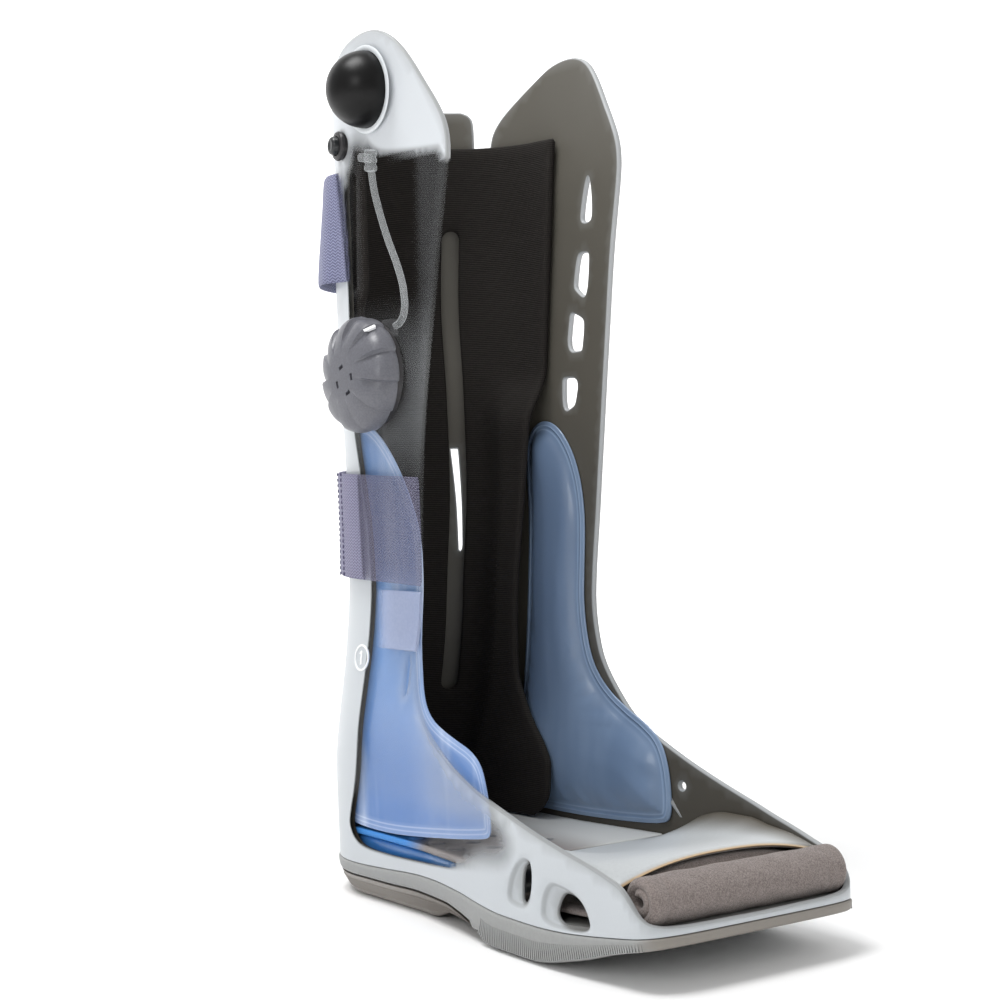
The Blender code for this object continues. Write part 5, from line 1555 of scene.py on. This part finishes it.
def box_mesh(centre, along, across, depth, axis, lengthwise):
    """A block's points and faces, for a cut."""
    axis, lengthwise = Vector(axis).normalized(), Vector(lengthwise).normalized()
    side = axis.cross(lengthwise)
    points = [np.array(centre) + np.array(lengthwise) * (along / 2 * a) + np.array(side) * (across / 2 * b)
              + np.array(axis) * (depth * c) for c in (-1, 1) for a, b in ((-1, -1), (1, -1), (1, 1), (-1, 1))]
    return np.array(points), [(0, 1, 2, 3), (7, 6, 5, 4), (0, 4, 5, 1), (1, 5, 6, 2), (2, 6, 7, 3), (3, 7, 4, 0)]


slot_verts, slot_faces = [], []
for dy, dz, lean in ((-0.3, 3.4, -0.45), (-8.9, -1.4, 1.35), (3.3, -4.6, 1.3), (-5.7, -8.8, -0.45)):
    centre = DIAL_AT + (-18.0, dy, dz)
    points, sides = box_mesh(centre, 3.5, 1.8, 3.0, (-1, 0, 0), (0, math.cos(lean), math.sin(lean)))
    slot_faces += [tuple(i + len(slot_verts) for i in f) for f in sides]
    slot_verts += points.tolist()
cutter = mesh_piece("slot_cutter", slot_verts, slot_faces, grey_nylon)
cut = dial_knob.modifiers.new("slots", "BOOLEAN")
cut.operation, cut.solver, cut.object = "DIFFERENCE", "EXACT", cutter
graph = bpy.context.evaluated_depsgraph_get()
cut_mesh = bpy.data.meshes.new_from_object(dial_knob.evaluated_get(graph))
dial_knob.modifiers.clear()
dial_knob.data = cut_mesh
dial_knob.data.shade_smooth()
dial_knob.data.set_sharp_from_angle(angle=math.radians(40))
bpy.data.objects.remove(cutter, do_unlink=True)
place(dial_knob, "selector", "dial", "dial")

SEAT = [(0, -2.5), (19.7, -2.5), (19.7, 0.0), (24.8, 0.0), (25.2, 0.4), (25.2, 2.2), (24.8, 3.0), (23.8, 3.4),
        (4.2, 3.4), (4.2, 10.0), (0, 10.0)]
verts, faces = turned(SEAT, DIAL_AT, (-1, 0, 0), 128)
# Painted shadow: the seat and the port are painted near black, so that the seat's crescent round the knob reads as
# the knob's shadow.
seat_painted_shadow, _ = speckled("seat_painted_shadow", rgb(196, 202, 206), 0.35, 0.9, 2.0, rgb(34, 32, 34), rgb(48, 46, 48), 0.03)
port_points, port_faces = box_mesh((-50.55, -15.8, 279.5), 7.6, 7.8, 2.15, (-1, 0, 0), (0, 1, 0))
faces = faces + [tuple(i + len(verts) for i in f) for f in port_faces]
dial_base = mesh_piece("dial_base", np.vstack([verts, port_points]), faces, seat_painted_shadow, sharp=40)
place(dial_base, "boot", "dial_seat", "dial_seat")

tick = [(-24.8, 15.0), (-24.8, 12.6), (-26.4, 9.4), (-27.9, 9.8)]
MARK_TURN = math.radians(53)
mark_rows = []
for side in (-0.8, 0.8):
    mark_rows.append([DIAL_AT + (-h, -(abs(r) * math.cos(MARK_TURN) + side * math.sin(MARK_TURN)),
                                 abs(r) * math.sin(MARK_TURN) - side * math.cos(MARK_TURN)) for r, h in tick])
verts, faces = loft(mark_rows)
dial_mark = mesh_piece("dial_mark", verts, faces, mark_white, sharp=30)
place(dial_mark, "selector", "dial")
print("knob", len(dial_knob.data.polygons))

# %% [markdown]
# ## Bulb, valve and fitting
# The pump is a rubber dome in a pale ring, and below it a small plunger lets the air out. All are turned
# shapes, so each is one profile spun round the axis that the wall gives at that place.

# %% Bulb and valve
BULB_R, BULB_Y, BULB_Z = 18.0, -15.0, 392.2
bx = float(half_width(BULB_Y, BULB_Z)[0])
slope = float(half_width(BULB_Y, BULB_Z + 15)[0] - half_width(BULB_Y, BULB_Z - 15)[0]) / 30
BULB_AXIS = Vector((-1, 0, -slope)).normalized()
BULB_AT = np.array((-bx, BULB_Y, BULB_Z)) + np.array(BULB_AXIS) * 1.5
DOT_WAY = Vector((-0.96, -0.18, -0.21)).normalized()
arc = np.radians(np.linspace(0, 90, 40))
dome = [(BULB_R, 0.0)] + [(BULB_R * math.cos(a), 1.2 + (BULB_R - 0.4) * math.sin(a)) for a in arc[:-1]]
dome.append((0, BULB_R + 0.8))
hollow = [((BULB_R - 1.6) * math.cos(a), (BULB_R - 1.6) * math.sin(a)) for a in arc[:-1:2]]
black_rubber = Finish("black_rubber", rgb(38, 37, 40), 0.34)
bloom = black_rubber.noise(0.12, 4.0)
black_rubber.feed("Base Color", black_rubber.blend(bloom, rgb(4, 4, 4), rgb(9, 8, 9)))
black_rubber.feed("Roughness", bloom * 0.16 + 0.28)
black_rubber.shader.inputs["Specular IOR Level"].default_value = 0.26
black_rubber.bump(black_rubber.noise(1.2, 3.0), 0.03, 0.4)
verts, faces = turned([(0, BULB_R - 1.6)] + hollow[::-1] + dome, BULB_AT, BULB_AXIS, 96)
bulb_dome = mesh_piece("bulb_dome", verts, faces, black_rubber, sharp=50)
place(bulb_dome, "boot", "bulb", "bulb")
verts, faces = turned([(0, -0.2), (0.9, -0.2), (0.9, 0.1), (0.6, 0.3), (0.35, 0.1), (0, 0.0)],
                      BULB_AT + np.array(DOT_WAY) * 18.4, DOT_WAY, 20)
bulb_dot = mesh_piece("bulb_dot", verts, faces, black_rubber, sharp=60)
place(bulb_dot, "boot", "bulb")
RING = [(18.3, 0.0), (20.6, 0.0), (20.4, 0.2), (19.9, 0.5), (19.4, 0.6), (18.8, 0.6), (18.3, 0.5)]
ring_white, _ = speckled("ring_white", rgb(226, 230, 233), 0.32, 0.9, 2.0, rgb(210, 215, 218), rgb(222, 226, 229))
verts, faces = turned(RING, BULB_AT, BULB_AXIS, 96)
bulb_rim = mesh_piece("bulb_rim", verts, faces, ring_white, sharp=60)
place(bulb_rim, "boot", "ring", "bulb_ring")

VALVE_AT = on_wall(VALVE_RUN, VALVE_Z)[0]
VALVE_AXIS = Vector(on_wall(VALVE_RUN, VALVE_Z, 1.0)[0] - VALVE_AT).normalized()
COLLAR = [(4.7, -3.8), (6.0, -3.8), (6.0, 0.7), (6.8, 0.7), (7.1, 1.1), (7.1, 2.0), (6.7, 2.8), (6.0, 3.1),
          (4.9, 3.1), (4.7, 2.8)]
collar_black, _ = speckled("collar_black", rgb(34, 33, 34), 0.4, 1.0, 3.0, rgb(26, 25, 26), rgb(48, 46, 48), 0.04)
verts, faces = turned(COLLAR, VALVE_AT, VALVE_AXIS, 64)
valve_ring = mesh_piece("valve_ring", verts, faces, collar_black, sharp=50)
place(valve_ring, "boot", "collar", "valve_collar")
PLUNGER = [(0, -1.6), (4.4, -1.6), (4.4, 4.8), (4.1, 5.6), (3.4, 6.1), (2.4, 6.2), (1.8, 5.9), (0, 5.8)]
plunger_black, _ = speckled("plunger_black", rgb(30, 32, 33), 0.32, 1.0, 3.0, rgb(20, 22, 23), rgb(44, 46, 48))
verts, faces = turned(PLUNGER, VALVE_AT, VALVE_AXIS, 48)
valve_plunger = mesh_piece("valve_plunger", verts, faces, plunger_black, sharp=50)
place(valve_plunger, "release", "button", "valve_button")

FITTING_AT = (-(float(half_width(-3.0, 362.0)[0]) - WALL - 3.6), -3.0, 0.0)
FITTING = [(0, 355.6), (1.4, 355.6), (2.7, 355.9), (3.1, 356.6), (3.1, 358.2), (2.6, 358.8), (2.6, 359.6),
           (3.1, 360.2), (3.1, 361.6), (2.6, 362.2), (2.6, 363.0), (3.0, 363.6), (3.0, 366.0), (0, 366.0)]
verts, faces = turned(FITTING, FITTING_AT, (0, 0, 1), 48)
pin_at = (FITTING_AT[0], FITTING_AT[1], 362.0)
pin, pin_faces = turned([(0, 0), (2.0, 0), (2.0, 6.2), (0, 6.2)], pin_at, (-1, 0, 0), 32)
faces = faces + [tuple(i + len(verts) for i in f) for f in pin_faces]
barb = mesh_piece("tube_barb", np.vstack([verts, pin]), faces, clear_pvc, sharp=40)
place(barb, "boot", "ring", "tube_fitting")
print("dome", len(bulb_dome.data.polygons))

# %% [markdown]
# ## Floor and light
# The picture is a studio shot on white. A pale floor sweeps up behind the boot, one wide soft light stands
# high on the left, a weaker one fills from the right, and the even sky keeps the shadows open.

# %% Stage
bend = np.linspace(0, math.pi / 2, 24)
sweep = [(-1.6, 0.0)] + [(1.2 + 0.8 * math.sin(a), 0.8 - 0.8 * math.cos(a)) for a in bend] + [(2.0, 3.2)]
across_floor = Vector((math.cos(AZIMUTH), math.sin(AZIMUTH), 0))
into_floor = Vector((-math.sin(AZIMUTH), math.cos(AZIMUTH), 0))
floor_verts = [across_floor * s + into_floor * d + Vector((0, 0, h - 0.0004))
               for d, h in sweep for s in (-3.5, 3.5)]
floor_mesh = bpy.data.meshes.new("floor")
floor_mesh.from_pydata([tuple(v) for v in floor_verts], [],
                       [(2 * k, 2 * k + 1, 2 * k + 3, 2 * k + 2) for k in range(len(sweep) - 1)])
floor_mesh.shade_smooth()
paper = Finish("paper", (0.93, 0.93, 0.93), 0.9)
x, y, z = paper.axes()
away = ((x * x + (y + 60.0) * (y + 60.0)) ** 0.5).step(260.0, 800.0)
paper.feed("Emission Color", paper.blend(away, (0.0, 0.0, 0.0), (0.5, 0.5, 0.5)))
paper.shader.inputs["Emission Strength"].default_value = 1.0
paper.shader.inputs["Specular IOR Level"].default_value = 0.1
floor_mesh.materials.append(paper.material)
floor = bpy.data.objects.new("floor", floor_mesh)
collection.objects.link(floor)


def soft_light(name, at, aim, size, power):
    data = bpy.data.lights.new(name, "AREA")
    data.shape, data.size, data.energy = "SQUARE", size, power
    obj = bpy.data.objects.new(name, data)
    obj.location = at
    obj.rotation_euler = (Vector(aim) - Vector(at)).to_track_quat("-Z", "Y").to_euler()
    collection.objects.link(obj)
    return obj


soft_light("top", (-0.6, 0.1, 1.9), (0, -0.05, 0.1), 0.8, 25)
soft_light("key", (-1.7, -1.0, 0.9), (0, -0.05, 0.2), 0.7, 6)
soft_light("fill", (1.0, -1.6, 0.8), (0, -0.05, 0.2), 1.2, 3)
world = bpy.data.worlds.new("studio")
bpy.context.scene.world = world
world.use_nodes = True
world.node_tree.nodes["Background"].inputs["Color"].default_value = (1, 1, 1, 1)
world.node_tree.nodes["Background"].inputs["Strength"].default_value = 0.5
bpy.context.scene.view_settings.view_transform = "Standard"
